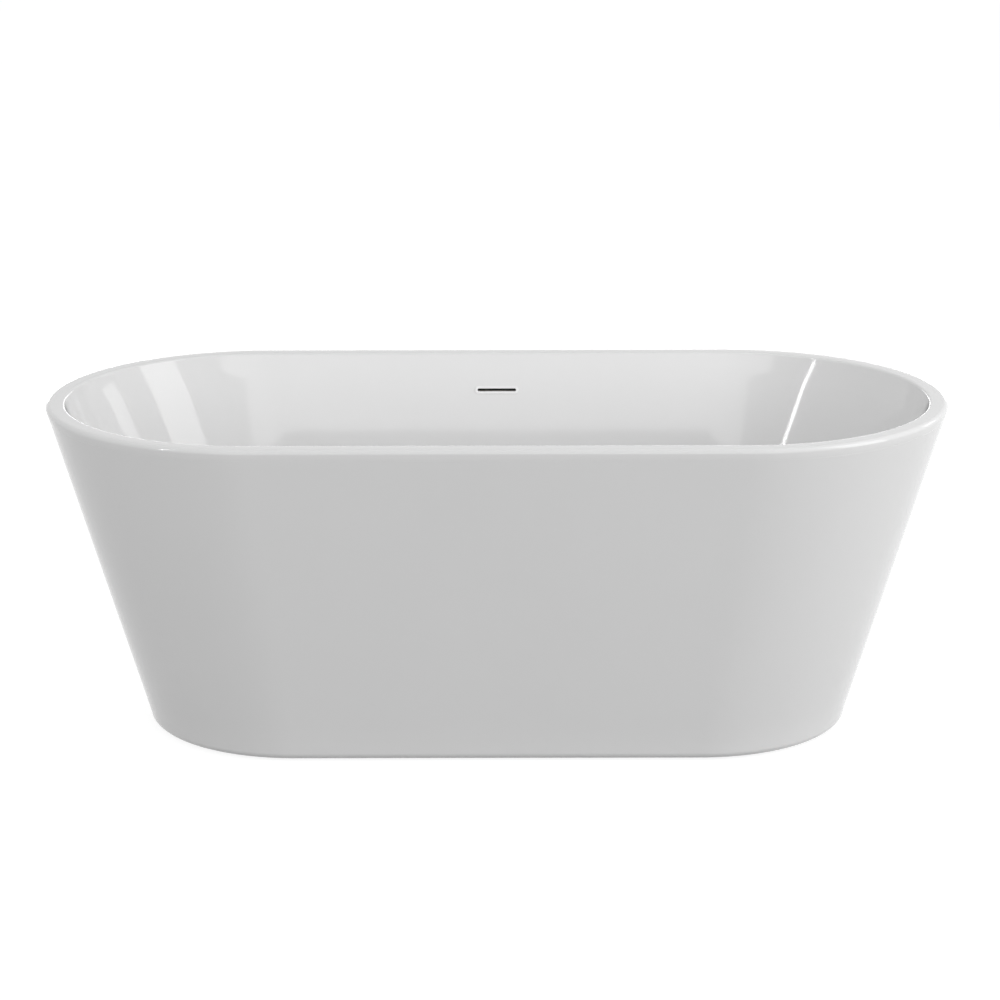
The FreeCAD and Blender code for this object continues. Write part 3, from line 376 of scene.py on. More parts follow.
FINISHES = {
    "acrylic": cast_acrylic,
    "trim_white": moulded_trim,
    "glass_fibre": glass_fibre,
    "plywood": birch_plywood,
    "frame_steel": powder_coat,
    "bracket_steel": galvanised_sheet,
    "zinc_steel": zinc_plate,
    "black_plastic": black_nylon,
    "chrome": chrome_plate,
    "brass": turned_brass,
    "rubber": moulded_rubber,
    "waste_plastic": white_polypropylene,
    "hose_plastic": grey_polythene,
    "pad_plastic": black_nylon,
}
made_finishes = {}


def finish(slot):
    """The one material of a slot, made when it is first asked for."""
    maker = FINISHES[slot]
    if maker not in made_finishes:
        made_finishes[maker] = maker()
    return made_finishes[maker]


# ---------------------------------------------------------------- meshes

def as_mesh(work, name):
    """Mesh from a bmesh, with merged doubles and outward faces."""
    bmesh.ops.remove_doubles(work, verts=work.verts, dist=1e-6)
    bmesh.ops.dissolve_degenerate(work, edges=work.edges, dist=1e-7)
    bmesh.ops.recalc_face_normals(work, faces=work.faces)
    mesh = bpy.data.meshes.new(name)
    work.to_mesh(mesh)
    work.free()
    return mesh


def value_at(value, angle):
    """A number, or a rule of the angle around the axis."""
    return value(angle) if callable(value) else value


def spun(rows, around=48, closed=False, centre=(0.0, 0.0)):
    """Turned solid through rows of (radius, height), each a number or a rule of the angle.

    An open one starts and ends at radius 0; a closed one joins its last row to its first, round a bore.
    """
    work = bmesh.new()
    rings = []
    for radius, height in rows:
        ring = []
        for k in range(around):
            angle = math.tau * k / around
            r = value_at(radius, angle)
            z = value_at(height, angle)
            ring.append(work.verts.new((centre[0] + r * math.cos(angle), centre[1] + r * math.sin(angle), z)))
        rings.append(ring)
    pairs = list(zip(rings, rings[1:]))
    if closed:
        pairs.append((rings[-1], rings[0]))
    for low, high in pairs:
        for k in range(around):
            n = (k + 1) % around
            work.faces.new((low[k], low[n], high[n], high[k]))
    return as_mesh(work, "spun")


def arc_rows(centre_r, centre_z, radius, start, end, steps=6):
    """Rows round an arc from one angle to another, in degrees from outwards."""
    rows = []
    for k in range(steps + 1):
        angle = math.radians(start + (end - start) * k / steps)
        rows.append((centre_r + radius * math.cos(angle), centre_z + radius * math.sin(angle)))
    return rows


def rounded_block(low, high, radius, segments=3):
    """Box with rounded edges."""
    work = bmesh.new()
    bmesh.ops.create_cube(work, size=1.0)
    low = Vector(low)
    high = Vector(high)
    for vert in work.verts:
        vert.co = [(low[k] + high[k]) / 2 + vert.co[k] * (high[k] - low[k]) for k in range(3)]
    bmesh.ops.bevel(work, geom=work.edges, offset=radius, segments=segments, profile=0.5, affect="EDGES")
    return as_mesh(work, "block")


def joined(meshes, name):
    """One mesh from several; the several are removed."""
    work = bmesh.new()
    for mesh in meshes:
        work.from_mesh(mesh)
        bpy.data.meshes.remove(mesh)
    mesh = bpy.data.meshes.new(name)
    work.to_mesh(mesh)
    work.free()
    return mesh


def moved(mesh, matrix):
    """The mesh after a matrix is applied to it."""
    mesh.transform(matrix)
    return mesh


def piece(name, mesh, slot, nodes=(), body="root", sharp=35):
    """A finished piece: smooth but for its sharp edges, with its finish, body and the nodes it stands for."""
    mesh.materials.clear()
    mesh.materials.append(finish(slot))
    mesh.shade_smooth()
    mesh.set_sharp_from_angle(angle=math.radians(sharp))
    made = bpy.data.objects.new(name, mesh)
    bpy.context.scene.collection.objects.link(made)
    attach(made, body)
    if nodes:
        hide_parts(*nodes)
    return made


def keep_node(name, slot):
    """Gives a node of the frame its finish."""
    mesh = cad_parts[name].data
    mesh.materials.clear()
    mesh.materials.append(finish(slot))


def solids_of(node):
    """(lowest, highest) corners of each separate solid in a node, left to right, then front to back."""
    work = bmesh.new()
    work.from_mesh(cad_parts[node].data)
    bmesh.ops.remove_doubles(work, verts=work.verts, dist=1e-6)
    left = set(work.verts)
    boxes = []
    while left:
        stack = [left.pop()]
        points = []
        while stack:
            vert = stack.pop()
            points.append(vert.co.copy())
            for edge in vert.link_edges:
                other = edge.other_vert(vert)
                if other in left:
                    left.remove(other)
                    stack.append(other)
        low = Vector([min(p[k] for p in points) for k in range(3)])
        high = Vector([max(p[k] for p in points) for k in range(3)])
        boxes.append((low, high))
    work.free()
    return sorted(boxes, key=lambda pair: (round(pair[0].x, 4), round(pair[0].y, 4)))


# ---------------------------------------------------------------- geometry node trees

def new_tree(name, sockets):
    """Geometry node tree with a geometry in and out and named inputs given as (name, socket type)."""
    tree = bpy.data.node_groups.new(name, "GeometryNodeTree")
    tree.interface.new_socket("Geometry", in_out="INPUT", socket_type="NodeSocketGeometry")
    for label, kind in sockets:
        tree.interface.new_socket(label, in_out="INPUT", socket_type=kind)
    tree.interface.new_socket("Geometry", in_out="OUTPUT", socket_type="NodeSocketGeometry")
    given = add_node(tree, "NodeGroupInput")
    return tree, given.outputs


def end_tree(tree, geometry, material):
    """Ends a tree: real geometry, shaded smooth, with its material."""
    real = add_node(tree, "GeometryNodeRealizeInstances", {"Geometry": geometry})
    smooth = add_node(tree, "GeometryNodeSetShadeSmooth", {"Geometry": real.outputs["Geometry"]})
    finished = add_node(tree, "GeometryNodeSetMaterial",
                        {"Geometry": smooth.outputs["Geometry"], "Material": material})
    add_node(tree, "NodeGroupOutput", {"Geometry": finished.outputs["Geometry"]})


def stadium_tree():
    """Wraps a profile of (half length, half width, height) points round a stadium outline."""
    tree, given = new_tree("Stadium shell", [
        ("Round Steps", "NodeSocketInt"), ("Material", "NodeSocketMaterial")])
    integer = "FunctionNodeIntegerMath"
    number = "ShaderNodeMath"
    profile = given["Geometry"]
    count = add_node(tree, "GeometryNodeAttributeDomainSize", {"Geometry": profile}).outputs["Point Count"]
    corners = add_node(tree, integer, {0: given["Round Steps"], 1: 1}, operation="ADD").outputs[0]
    twice = add_node(tree, integer, {0: corners, 1: 2}, operation="MULTIPLY").outputs[0]
    columns = add_node(tree, integer, {0: twice, 1: 1}, operation="ADD").outputs[0]
    grid = add_node(tree, "GeometryNodeMeshGrid", {"Vertices X": count, "Vertices Y": columns})
    index = add_node(tree, "GeometryNodeInputIndex").outputs["Index"]
    row = add_node(tree, integer, {0: index, 1: columns}, operation="DIVIDE_FLOOR").outputs[0]
    column = add_node(tree, integer, {0: index, 1: columns}, operation="MODULO").outputs[0]
    half = add_node(tree, integer, {0: column, 1: corners}, operation="DIVIDE_FLOOR").outputs[0]
    step = add_node(tree, integer, {0: column, 1: corners}, operation="MODULO").outputs[0]
    share = add_node(tree, number, {0: step, 1: given["Round Steps"]}, operation="DIVIDE").outputs[0]
    turns = add_node(tree, number, {0: half, 1: share}, operation="ADD").outputs[0]
    angle = add_node(tree, number, {0: turns, 1: math.pi, 2: -QUARTER}, operation="MULTIPLY_ADD").outputs[0]
    left = add_node(tree, integer, {0: half, 1: 2}, operation="MODULO").outputs[0]
    side = add_node(tree, number, {0: left, 1: -2.0, 2: 1.0}, operation="MULTIPLY_ADD").outputs[0]
    place = add_node(tree, "GeometryNodeInputPosition").outputs["Position"]
    sample = add_node(tree, "GeometryNodeSampleIndex",
                      {"Geometry": profile, "Index": row}, data_type="FLOAT_VECTOR")
    tree.links.new(place, sample.inputs["Value"])
    section = add_node(tree, "ShaderNodeSeparateXYZ", {"Vector": sample.outputs["Value"]}).outputs
    straight = add_node(tree, number, {0: section["X"], 1: section["Y"]}, operation="SUBTRACT").outputs[0]
    cosine = add_node(tree, number, {0: angle}, operation="COSINE").outputs[0]
    sine = add_node(tree, number, {0: angle}, operation="SINE").outputs[0]
    centre = add_node(tree, number, {0: straight, 1: side}, operation="MULTIPLY").outputs[0]
    x = add_node(tree, number, {0: section["Y"], 1: cosine, 2: centre}, operation="MULTIPLY_ADD").outputs[0]
    y = add_node(tree, number, {0: section["Y"], 1: sine}, operation="MULTIPLY").outputs[0]
    point = add_node(tree, "ShaderNodeCombineXYZ", {"X": x, "Y": y, "Z": section["Z"]}).outputs["Vector"]
    shaped = add_node(tree, "GeometryNodeSetPosition", {"Geometry": grid.outputs["Mesh"], "Position": point})
    merged = add_node(tree, "GeometryNodeMergeByDistance",
                      {"Geometry": shaped.outputs["Geometry"], "Distance": 1e-6})
    end_tree(tree, merged.outputs["Geometry"], given["Material"])
    return tree


def copies_tree():
    """Sets a copy of one object on each point, its Z axis along the point's direction."""
    tree, given = new_tree("Placed copies", [
        ("Copy", "NodeSocketObject"), ("Material", "NodeSocketMaterial")])
    copy = add_node(tree, "GeometryNodeObjectInfo", {"Object": given["Copy"], "As Instance": True})
    way = add_node(tree, "GeometryNodeInputNamedAttribute", {"Name": "direction"}, data_type="FLOAT_VECTOR")
    turn = add_node(tree, "FunctionNodeAlignRotationToVector", {"Vector": way.outputs["Attribute"]}, axis="Z")
    placed = add_node(tree, "GeometryNodeInstanceOnPoints", {
        "Points": given["Geometry"], "Instance": copy.outputs["Geometry"],
        "Rotation": turn.outputs["Rotation"]})
    end_tree(tree, placed.outputs["Instances"], given["Material"])
    return tree


def bead_tree():
    """Weld beads: overlapping drops of uneven size along each line of a mesh."""
    tree, given = new_tree("Weld beads", [
        ("Spacing", "NodeSocketFloat"), ("Radius", "NodeSocketFloat"), ("Seed", "NodeSocketInt"),
        ("Material", "NodeSocketMaterial")])
    lines = add_node(tree, "GeometryNodeMeshToCurve", {"Mesh": given["Geometry"]})
    spaced = add_node(tree, "GeometryNodeResampleCurve",
                      {"Curve": lines.outputs["Curve"], "Length": given["Spacing"]}, mode="LENGTH")
    drop = add_node(tree, "GeometryNodeMeshIcoSphere", {"Radius": given["Radius"], "Subdivisions": 2})
    size = add_node(tree, "FunctionNodeRandomValue",
                    {2: 0.8, 3: 1.15, "Seed": given["Seed"]}, data_type="FLOAT")
    placed = add_node(tree, "GeometryNodeInstanceOnPoints", {
        "Points": spaced.outputs["Curve"], "Instance": drop.outputs["Mesh"], "Scale": size.outputs[1]})
    end_tree(tree, placed.outputs["Instances"], given["Material"])
    return tree


def hose_tree():
    """Corrugated hose along a curve, with a plain cuff at each end."""
    tree, given = new_tree("Corrugated hose", [
        ("Radius", "NodeSocketFloat"), ("Rib Pitch", "NodeSocketFloat"), ("Rib Depth", "NodeSocketFloat"),
        ("Cuff", "NodeSocketFloat"), ("Material", "NodeSocketMaterial")])
    number = "ShaderNodeMath"
    step = add_node(tree, number, {0: given["Rib Pitch"], 1: 8.0}, operation="DIVIDE").outputs[0]
    path = add_node(tree, "GeometryNodeResampleCurve",
                    {"Curve": given["Geometry"], "Length": step}, mode="LENGTH")
    along = add_node(tree, "GeometryNodeSplineParameter").outputs["Length"]
    whole = add_node(tree, "GeometryNodeSplineLength").outputs["Length"]
    left = add_node(tree, number, {0: whole, 1: along}, operation="SUBTRACT").outputs[0]
    nearest = add_node(tree, number, {0: along, 1: left}, operation="MINIMUM").outputs[0]
    ribbed = add_node(tree, number, {0: nearest, 1: given["Cuff"]}, operation="GREATER_THAN").outputs[0]
    ribs = add_node(tree, number, {0: along, 1: given["Rib Pitch"]}, operation="DIVIDE").outputs[0]
    phase = add_node(tree, number, {0: ribs, 1: math.tau}, operation="MULTIPLY").outputs[0]
    wave = add_node(tree, number, {0: phase}, operation="COSINE").outputs[0]
    dip = add_node(tree, number, {0: wave, 1: -0.5, 2: 0.5}, operation="MULTIPLY_ADD").outputs[0]
    depth = add_node(tree, number, {0: dip, 1: given["Rib Depth"]}, operation="MULTIPLY").outputs[0]
    cut = add_node(tree, number, {0: depth, 1: ribbed}, operation="MULTIPLY").outputs[0]
    radius = add_node(tree, number, {0: given["Radius"], 1: cut}, operation="SUBTRACT").outputs[0]
    sized = add_node(tree, "GeometryNodeSetCurveRadius", {"Curve": path.outputs["Curve"], "Radius": radius})
    ring = add_node(tree, "GeometryNodeCurvePrimitiveCircle", {"Resolution": 32, "Radius": 1.0})
    tube = add_node(tree, "GeometryNodeCurveToMesh", {
        "Curve": sized.outputs["Curve"], "Profile Curve": ring.outputs["Curve"]})
    for socket in tube.inputs:
        if socket.name == "Scale":
            scale = add_node(tree, "GeometryNodeInputRadius").outputs["Radius"]
            tree.links.new(scale, socket)
    end_tree(tree, tube.outputs["Mesh"], given["Material"])
    return tree


def grown(tree, source, values):
    """The plain mesh that a tree makes from a mesh or curve, with its named inputs set."""
    holder = bpy.data.objects.new("source", source)
    bpy.context.scene.collection.objects.link(holder)
    modifier = holder.modifiers.new("Grow", "NODES")
    modifier.node_group = tree
    for item in tree.interface.items_tree:
        if item.in_out == "INPUT" and item.name in values:
            modifier[item.identifier] = values[item.name]
    graph = bpy.context.evaluated_depsgraph_get()
    mesh = bpy.data.meshes.new_from_object(holder.evaluated_get(graph), depsgraph=graph)
    holder.modifiers.remove(modifier)
    bpy.data.objects.remove(holder)
    return mesh


def cloud(points, directions=None, lines=()):
    """Mesh of bare points, or points and lines, each point with a direction."""
    mesh = bpy.data.meshes.new("points")
    mesh.from_pydata([tuple(p) for p in points], [tuple(e) for e in lines], [])
    if directions:
        field = mesh.attributes.new("direction", "FLOAT_VECTOR", "POINT")
        for k, way in enumerate(directions):
            field.data[k].vector = way
    return mesh


def tidy(mesh):
    """The mesh with merged doubles and faces that point outwards."""
    work = bmesh.new()
    work.from_mesh(mesh)
    bpy.data.meshes.remove(mesh)
    return as_mesh(work, "tidy")


trees = {}


def tree_of(maker):
    """The one tree that a function makes."""
    if maker not in trees:
        trees[maker] = maker()
    return trees[maker]


def stadium_shell(profile, slot, steps=96):
    """Shell wrapped from a closed profile."""
    values = {"Round Steps": steps, "Material": finish(slot)}
    return tidy(grown(tree_of(stadium_tree), cloud(profile), values))


def copies(mesh, places, directions, slot):
    """Copies of a mesh at places, each turned along its direction."""
    source = bpy.data.objects.new("copy", mesh)
    values = {"Copy": source, "Material": finish(slot)}
    result = grown(tree_of(copies_tree), cloud(places, directions), values)
    bpy.data.objects.remove(source)
    bpy.data.meshes.remove(mesh)
    return result


# ---------------------------------------------------------------- the tub's surfaces

def skirt_point(z, inset=0.0):
    """Half length, half width and height on the slanting outside, moved in by inset."""
    s = sizes()
    base_z = SKIRT_LOW.z + s.foot_radius
    shoulder_z = s.height - s.rim_outer_radius
    rise = (z - base_z) / (shoulder_z - base_z)
    half_length = s.base_length / 2 + rise * (s.length - s.base_length) / 2
    half_width = s.base_width / 2 + rise * (s.width - s.base_width) / 2
    return half_length - inset, half_width - inset, z


def bowl_half(z, top_half, slope, corner, offset):
    """Half size at height z of the bathing surface moved out by offset: a wall, then a round to the floor."""
    s = sizes()
    lean = math.atan(slope)
    radius = corner + offset
    centre_z = s.floor_z + corner
    wall_top = s.height - s.rim_inner_radius
    centre = top_half - slope * (wall_top - centre_z) - corner / math.cos(lean)
    if z >= centre_z - radius * math.sin(lean):
        return centre + radius / math.cos(lean) + slope * (z - centre_z)
    return centre + math.sqrt(max(0.0, radius ** 2 - (centre_z - z) ** 2))


def bowl_point(z, offset=0.0):
    """Half length, half width and height on the bathing surface moved out by offset."""
    s = sizes()
    edge = s.rim_width + s.rim_inner_radius
    half_length = bowl_half(z, s.length / 2 - edge, s.end_slope, s.end_corner, offset)
    half_width = bowl_half(z, s.width / 2 - edge, s.side_slope, s.side_corner, offset)
    return half_length, half_width, z


def bowl_rows(offset, wall_rows=8, round_rows=28):
    """Points down the wall and round into the floor, from just under the rim to the flat of the floor."""
    s = sizes()
    wall_top = s.height - s.rim_inner_radius if offset == 0 else s.height - s.skin
    low = s.floor_z - offset
    high = low + s.end_corner + offset
    rows = [bowl_point(wall_top + (high - wall_top) * k / wall_rows, offset) for k in range(wall_rows + 1)]
    for k in range(1, round_rows + 1):
        angle = QUARTER * (1 - k / round_rows)
        rows.append(bowl_point(low + (high - low) * (1 - math.cos(angle)), offset))
    return rows


def floor_rows(offset, hole, steps=8):
    """Rings over the flat floor from its edge to the round hole of the waste."""
    s = sizes()
    half_length, half_width, z = bowl_point(s.floor_z - offset, offset)
    rows = []
    for k in range(1, steps + 1):
        share = k / steps
        rows.append((half_length + (hole - half_length) * share, half_width + (hole - half_width) * share, z))
    return rows


def basin_profile():
    """Closed profile of the inner shell: lip, rim, wall, floor, and back along its underside."""
    s = sizes()
    seam_z = SKIRT_HIGH.z
    rows = [skirt_point(seam_z, s.skin), skirt_point(seam_z, s.seam), skirt_point(seam_z + s.seam, 0)]
    half_length, half_width = s.length / 2, s.width / 2
    r = s.rim_outer_radius
    for k in range(13):
        angle = QUARTER * k / 12
        back = r * (1 - math.cos(angle))
        rows.append((half_length - back, half_width - back, s.height - r + r * math.sin(angle)))
    r = s.rim_inner_radius
    for k in range(11):
        angle = QUARTER * (1 - k / 10)
        back = s.rim_width + r - r * (1 - math.cos(angle))
        rows.append((half_length - back, half_width - back, s.height - r + r * math.sin(angle)))
    rows += bowl_rows(0)[1:] + floor_rows(0, s.drain_hole)
    under = floor_rows(s.skin, s.drain_hole)[::-1] + bowl_rows(s.skin)[::-1]
    rows += under + [skirt_point(s.height - s.skin, s.skin), skirt_point(seam_z, s.skin)]
    return rows


def skirt_profile():
    """Closed profile of the skirt: outside, rounded foot, flange and back up the inside."""
    s = sizes()
    seam_z = SKIRT_HIGH.z
    rows = [skirt_point(seam_z - s.seam, 0)]
    rows += [skirt_point(seam_z + (SKIRT_LOW.z + s.foot_radius - seam_z) * k / 12, 0) for k in range(1, 13)]
    half_length, half_width = s.base_length / 2, s.base_width / 2
    steps = 14
    edge = 1.2 * MM
    for inset, way in ((0.0, 1), (s.skin, -1)):
        r = s.foot_radius - inset
        low_z = SKIRT_LOW.z + inset
        arc = []
        for k in range(steps + 1):
            angle = QUARTER * k / steps
            back = inset + r * (1 - math.cos(angle))
            arc.append((half_length - back, half_width - back, low_z + r * (1 - math.sin(angle))))
        tip = s.flange - edge
        tips = [(half_length - tip, half_width - tip, low_z),
                (half_length - s.flange, half_width - s.flange, low_z + way * edge)]
        rows += (arc + tips)[::way]
    rows += [skirt_point(SKIRT_LOW.z + s.foot_radius + (seam_z - SKIRT_LOW.z - s.foot_radius) * k / 4, s.skin)
             for k in range(1, 5)]
    rows += [skirt_point(seam_z, s.seam), rows[0]]
    return rows


def wall_frame():
    """Matrix of the overflow: X along the rear wall, Y up it, Z into the tub."""
    s = sizes()
    z = s.height - s.slot_drop
    y = bowl_point(z)[1]
    lean = math.atan(s.side_slope)
    up = Vector((0, math.sin(lean), math.cos(lean)))
    inwards = Vector((0, -math.cos(lean), math.sin(lean)))
    matrix = Matrix.Identity(4)
    for k, axis in enumerate((Vector((1, 0, 0)), up, inwards)):
        for row in range(3):
            matrix[row][k] = axis[row]
    matrix.translation = Vector((0, y, z))
    return matrix


# ---------------------------------------------------------------- operators

class TUB_OT_basin(bpy.types.Operator):
    """Make the inner acrylic shell with its rim, floor and overflow slot"""

    bl_idname = "tub.basin"
    bl_label = "Basin"

    def execute(self, context):
        s = sizes()
        mesh = stadium_shell(basin_profile(), "acrylic")
        half_length, half_height = s.slot_length / 2, s.slot_height / 2
        deep = 0.02
        cutter_rows = [(1e-5, 1e-5, -deep), (half_length, half_height, -deep),
                       (half_length, half_height, deep), (1e-5, 1e-5, deep)]
        cutter_mesh = stadium_shell(cutter_rows, "acrylic", 12)
        level = Matrix.Translation(wall_frame().translation) @ Matrix.Rotation(QUARTER, 4, "X")
        cutter = bpy.data.objects.new("cutter", moved(cutter_mesh, level))
        bpy.context.scene.collection.objects.link(cutter)
        shell = bpy.data.objects.new("shell", mesh)
        bpy.context.scene.collection.objects.link(shell)
        slot = shell.modifiers.new("Slot", "BOOLEAN")
        slot.operation = "DIFFERENCE"
        slot.solver = "EXACT"
        slot.object = cutter
        graph = bpy.context.evaluated_depsgraph_get()
        cut = bpy.data.meshes.new_from_object(shell.evaluated_get(graph), depsgraph=graph)
        bpy.data.objects.remove(shell)
        bpy.data.objects.remove(cutter)
        piece("basin", cut, "acrylic", ["basin_shell"])
        return {"FINISHED"}


class TUB_OT_skirt(bpy.types.Operator):
    """Make the outer acrylic shell with its rounded foot and flange"""

    bl_idname = "tub.skirt"
    bl_label = "Skirt"

    def execute(self, context):
        piece("skirt", stadium_shell(skirt_profile(), "acrylic"), "acrylic", ["skirt_shell"])
        return {"FINISHED"}


class TUB_OT_backings(bpy.types.Operator):
    """Finish the glass-fibre backings, the bond under the rim and the board under the floor"""

    bl_idname = "tub.backings"
    bl_label = "Backings and board"

    def execute(self, context):
        for name in ("basin_laminate", "skirt_laminate", "rim_bond_strip"):
            keep_node(name, "glass_fibre")
        keep_node("base_board", "plywood")
        return {"FINISHED"}


def square_tube(node):
    """Square tube with rounded corners that fills a node's box, open at both ends."""
    s = sizes()
    low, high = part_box(node)
    size = high - low
    along = 0 if size.x > size.y else 1
    across = 1 - along
    middle = (low + high) / 2
    work = bmesh.new()
    rings = []
    for end in (low[along], high[along]):
        for inset in (0.0, s.tube_wall):
            radius = max(s.tube_radius - inset, 0.001)
            half_w = size[across] / 2 - inset - radius
            half_h = size.z / 2 - inset - radius
            ring = []
            for corner, (sw, sh) in enumerate(((1, 1), (-1, 1), (-1, -1), (1, -1))):
                for k in range(6):
                    angle = QUARTER * (corner + k / 5)
                    spot = [0.0, 0.0, middle.z + sh * half_h + radius * math.sin(angle)]
                    spot[along] = end
                    spot[across] = middle[across] + sw * half_w + radius * math.cos(angle)
                    ring.append(work.verts.new(spot))
            rings.append(ring)
    count = len(rings[0])
    for first, second in ((0, 2), (1, 3), (0, 1), (2, 3)):
        for k in range(count):
            n = (k + 1) % count
            work.faces.new((rings[first][k], rings[first][n], rings[second][n], rings[second][k]))
    return as_mesh(work, node)


def bent_bracket(reach, foot_end, low_z, high_z, thick, width):
    """Bent strip: a leg on the plane y = reach and a foot out to foot_end, with a round bend."""
    bend = 2 * thick
    steps = 6
    inner = [(reach + thick, high_z)]
    outer = [(reach, high_z)]
    for k in range(steps + 1):
        angle = QUARTER * k / steps
        cy, cz = reach + thick + bend, low_z + thick + bend
        inner.append((cy - bend * math.cos(angle), cz - bend * math.sin(angle)))
        outer.append((cy - (bend + thick) * math.cos(angle), cz - (bend + thick) * math.sin(angle)))
    inner.append((foot_end, low_z + thick))
    outer.append((foot_end, low_z))
    outline = outer + inner[::-1]
    work = bmesh.new()
    near = [work.verts.new((-width / 2, y, z)) for y, z in outline]
    far = [work.verts.new((width / 2, y, z)) for y, z in outline]
    count = len(outline)
    for k in range(count):
        n = (k + 1) % count
        work.faces.new((near[k], near[n], far[n], far[k]))
    for k in range(len(outer) - 1):
        a, b, c, d = k, k + 1, count - 2 - k, count - 1 - k
        work.faces.new([near[i] for i in (a, b, c, d)])
        work.faces.new([far[i] for i in (a, b, c, d)])
    bmesh.ops.recalc_face_normals(work, faces=work.faces)
    sharp = [e for e in work.edges if e.calc_face_angle(0) > math.radians(50)]
    bmesh.ops.bevel(work, geom=sharp, offset=0.3 * MM, segments=2, profile=0.5, affect="EDGES")
    return as_mesh(work, "bracket")


class TUB_OT_frame(bpy.types.Operator):
    """Make the welded frame of square tubes with its end caps, weld beads and skirt brackets"""

    bl_idname = "tub.frame"
    bl_label = "Frame"

    def execute(self, context):
        rails = ("frame_rail_front", "frame_rail_rear")
        crosses = [n for n in sorted(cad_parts) if n.startswith("frame_cross")]
        for node in (*rails, *crosses):
            piece("tube_" + node[len("frame_"):], square_tube(node), "frame_steel", [node])
        points = []
        lines = []
        for node in crosses:
            low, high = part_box(node)
            for y in (low.y, high.y):
                square = [(low.x, y, low.z), (high.x, y, low.z), (high.x, y, high.z), (low.x, y, high.z)]
                first = len(points)
                points += square
                lines += [(first, first + 1), (first + 1, first + 2), (first + 3, first)]
        beads = {"Spacing": 2.2 * MM, "Radius": 1.5 * MM, "Seed": 3, "Material": finish("frame_steel")}
        piece("weld_beads", grown(tree_of(bead_tree), cloud(points, lines=lines), beads), "frame_steel")
        caps = []
        for low, high in solids_of("frame_end_caps"):
            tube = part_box(rails[0])[1].x
            outside = (tube, high.x) if high.x > 0 else (low.x, -tube)
            caps.append(rounded_block((outside[0], low.y, low.z), (outside[1], high.y, high.z), 2 * MM / 3))
            inset = 2.3 * MM
            inside = (low.x, tube) if high.x > 0 else (-tube, high.x)
            corners = ((inside[0], low.y + inset, low.z + inset), (inside[1], high.y - inset, high.z - inset))
            caps.append(rounded_block(*corners, 1 * MM))
        piece("tube_end_caps", joined(caps, "caps"), "black_plastic", ["frame_end_caps"])
        self.brackets("skirt_brackets_side", True)
        self.brackets("skirt_brackets_end", False)
        return {"FINISHED"}

    def brackets(self, node, side):
        """Bent brackets of one node, drawn at x = 0 facing the rear and turned by quarter turns."""
        strips = []
        for low, high in solids_of(node):
            centre = (low + high) / 2
            size = high - low
            width = min(size.x, size.y)
            out = centre.y if side else centre.x
            near, far = sorted((abs(low.y), abs(high.y)) if side else (abs(low.x), abs(high.x)))
            strip = bent_bracket(near, far, low.z, high.z, 2.5 * MM, width)
            quarter = (0 if out > 0 else 2) if side else (3 if out > 0 else 1)
            strip.transform(Matrix.Rotation(QUARTER * quarter, 4, "Z"))
            if side:
                strip.transform(Matrix.Translation((centre.x, 0, 0)))
            strips.append(strip)
        piece(node.replace("skirt_", ""), joined(strips, node), "bracket_steel", [node])


def hexagon(flats):
    """Radius of a hexagon by angle."""
    return lambda angle: flats / 2 / math.cos((angle % (math.pi / 3)) - math.pi / 6)


def chamfered(flats, z, way):
    """Height by angle of the chamfer that a cone cuts on a hexagon's end."""
    corner = hexagon(flats)
    return lambda angle: z - way * (corner(angle) - flats / 2 * CROWN) * math.tan(math.radians(30))


def hex_nut(flats, bore, height):
    """Hexagonal nut from z = 0 up, chamfered at both ends, with its bore."""
    rim = flats / 2 * CROWN
    rows = [
        (bore, 0.8 * MM), (bore + 0.8 * MM, 0.0), (rim, 0.0), (hexagon(flats), chamfered(flats, 0.0, -1)),
        (hexagon(flats), chamfered(flats, height, 1)), (rim, height), (bore + 0.8 * MM, height),
        (bore, height - 0.8 * MM),
    ]
    return spun(rows, 72, closed=True)


def hex_bolt(flats, head, radius, reach):
    """Hexagon-headed bolt, its head above z = 0 and its shank below."""
    rim = flats / 2 * CROWN
    rows = [(0.0, -reach), (radius - 0.5 * MM, -reach), (radius, 0.5 * MM - reach), (radius, 0.0), (rim, 0.0),
            (hexagon(flats), 0.0), (hexagon(flats), chamfered(flats, head, 1)), (rim, head),
            (rim * 0.8, head), (rim * 0.76, head - 0.3 * MM), (0.0, head - 0.3 * MM)]
    return spun(rows, 48)


def pan_screw(head_radius, head, radius, reach):
    """Pan-headed screw with a cross recess, its head above z = 0 and its threaded shank below."""
    def recess(angle):
        """Radius of the cross recess by angle."""
        wave = abs(math.cos(2 * angle))
        return head_radius * (0.16 + 0.36 * wave ** 6)

    pitch = 1.2 * MM
    rows = [(0.0, -reach), (radius * 0.3, 1 * MM - reach)]
    count = int((reach - 2.5 * MM) / pitch * 4)
    for k in range(count):
        z = 1.5 * MM - reach + k * pitch / 4

        def thread(angle, z=z):
            """Radius of the thread at this height by angle."""
            phase = (z / pitch - angle / math.tau) % 1.0
            return radius * (0.78 + 0.22 * abs(2 * phase - 1))

        rows.append((thread, z))
    rows += [(radius, -0.4 * MM), (radius, 0.0)]
    rows += [(head_radius, 0.0), (head_radius, head * 0.35)]
    rows += arc_rows(head_radius * 0.6, head * 0.35, head_radius * 0.4, 0, 60, 4)[1:]
    top = head * 0.35 + head_radius * 0.4 * math.sin(math.radians(60))
    rows += [(head_radius * 0.56, top), (recess, top), (recess, top - head * 0.5), (0.0, top - head * 0.6)]
    return spun(rows, 48)


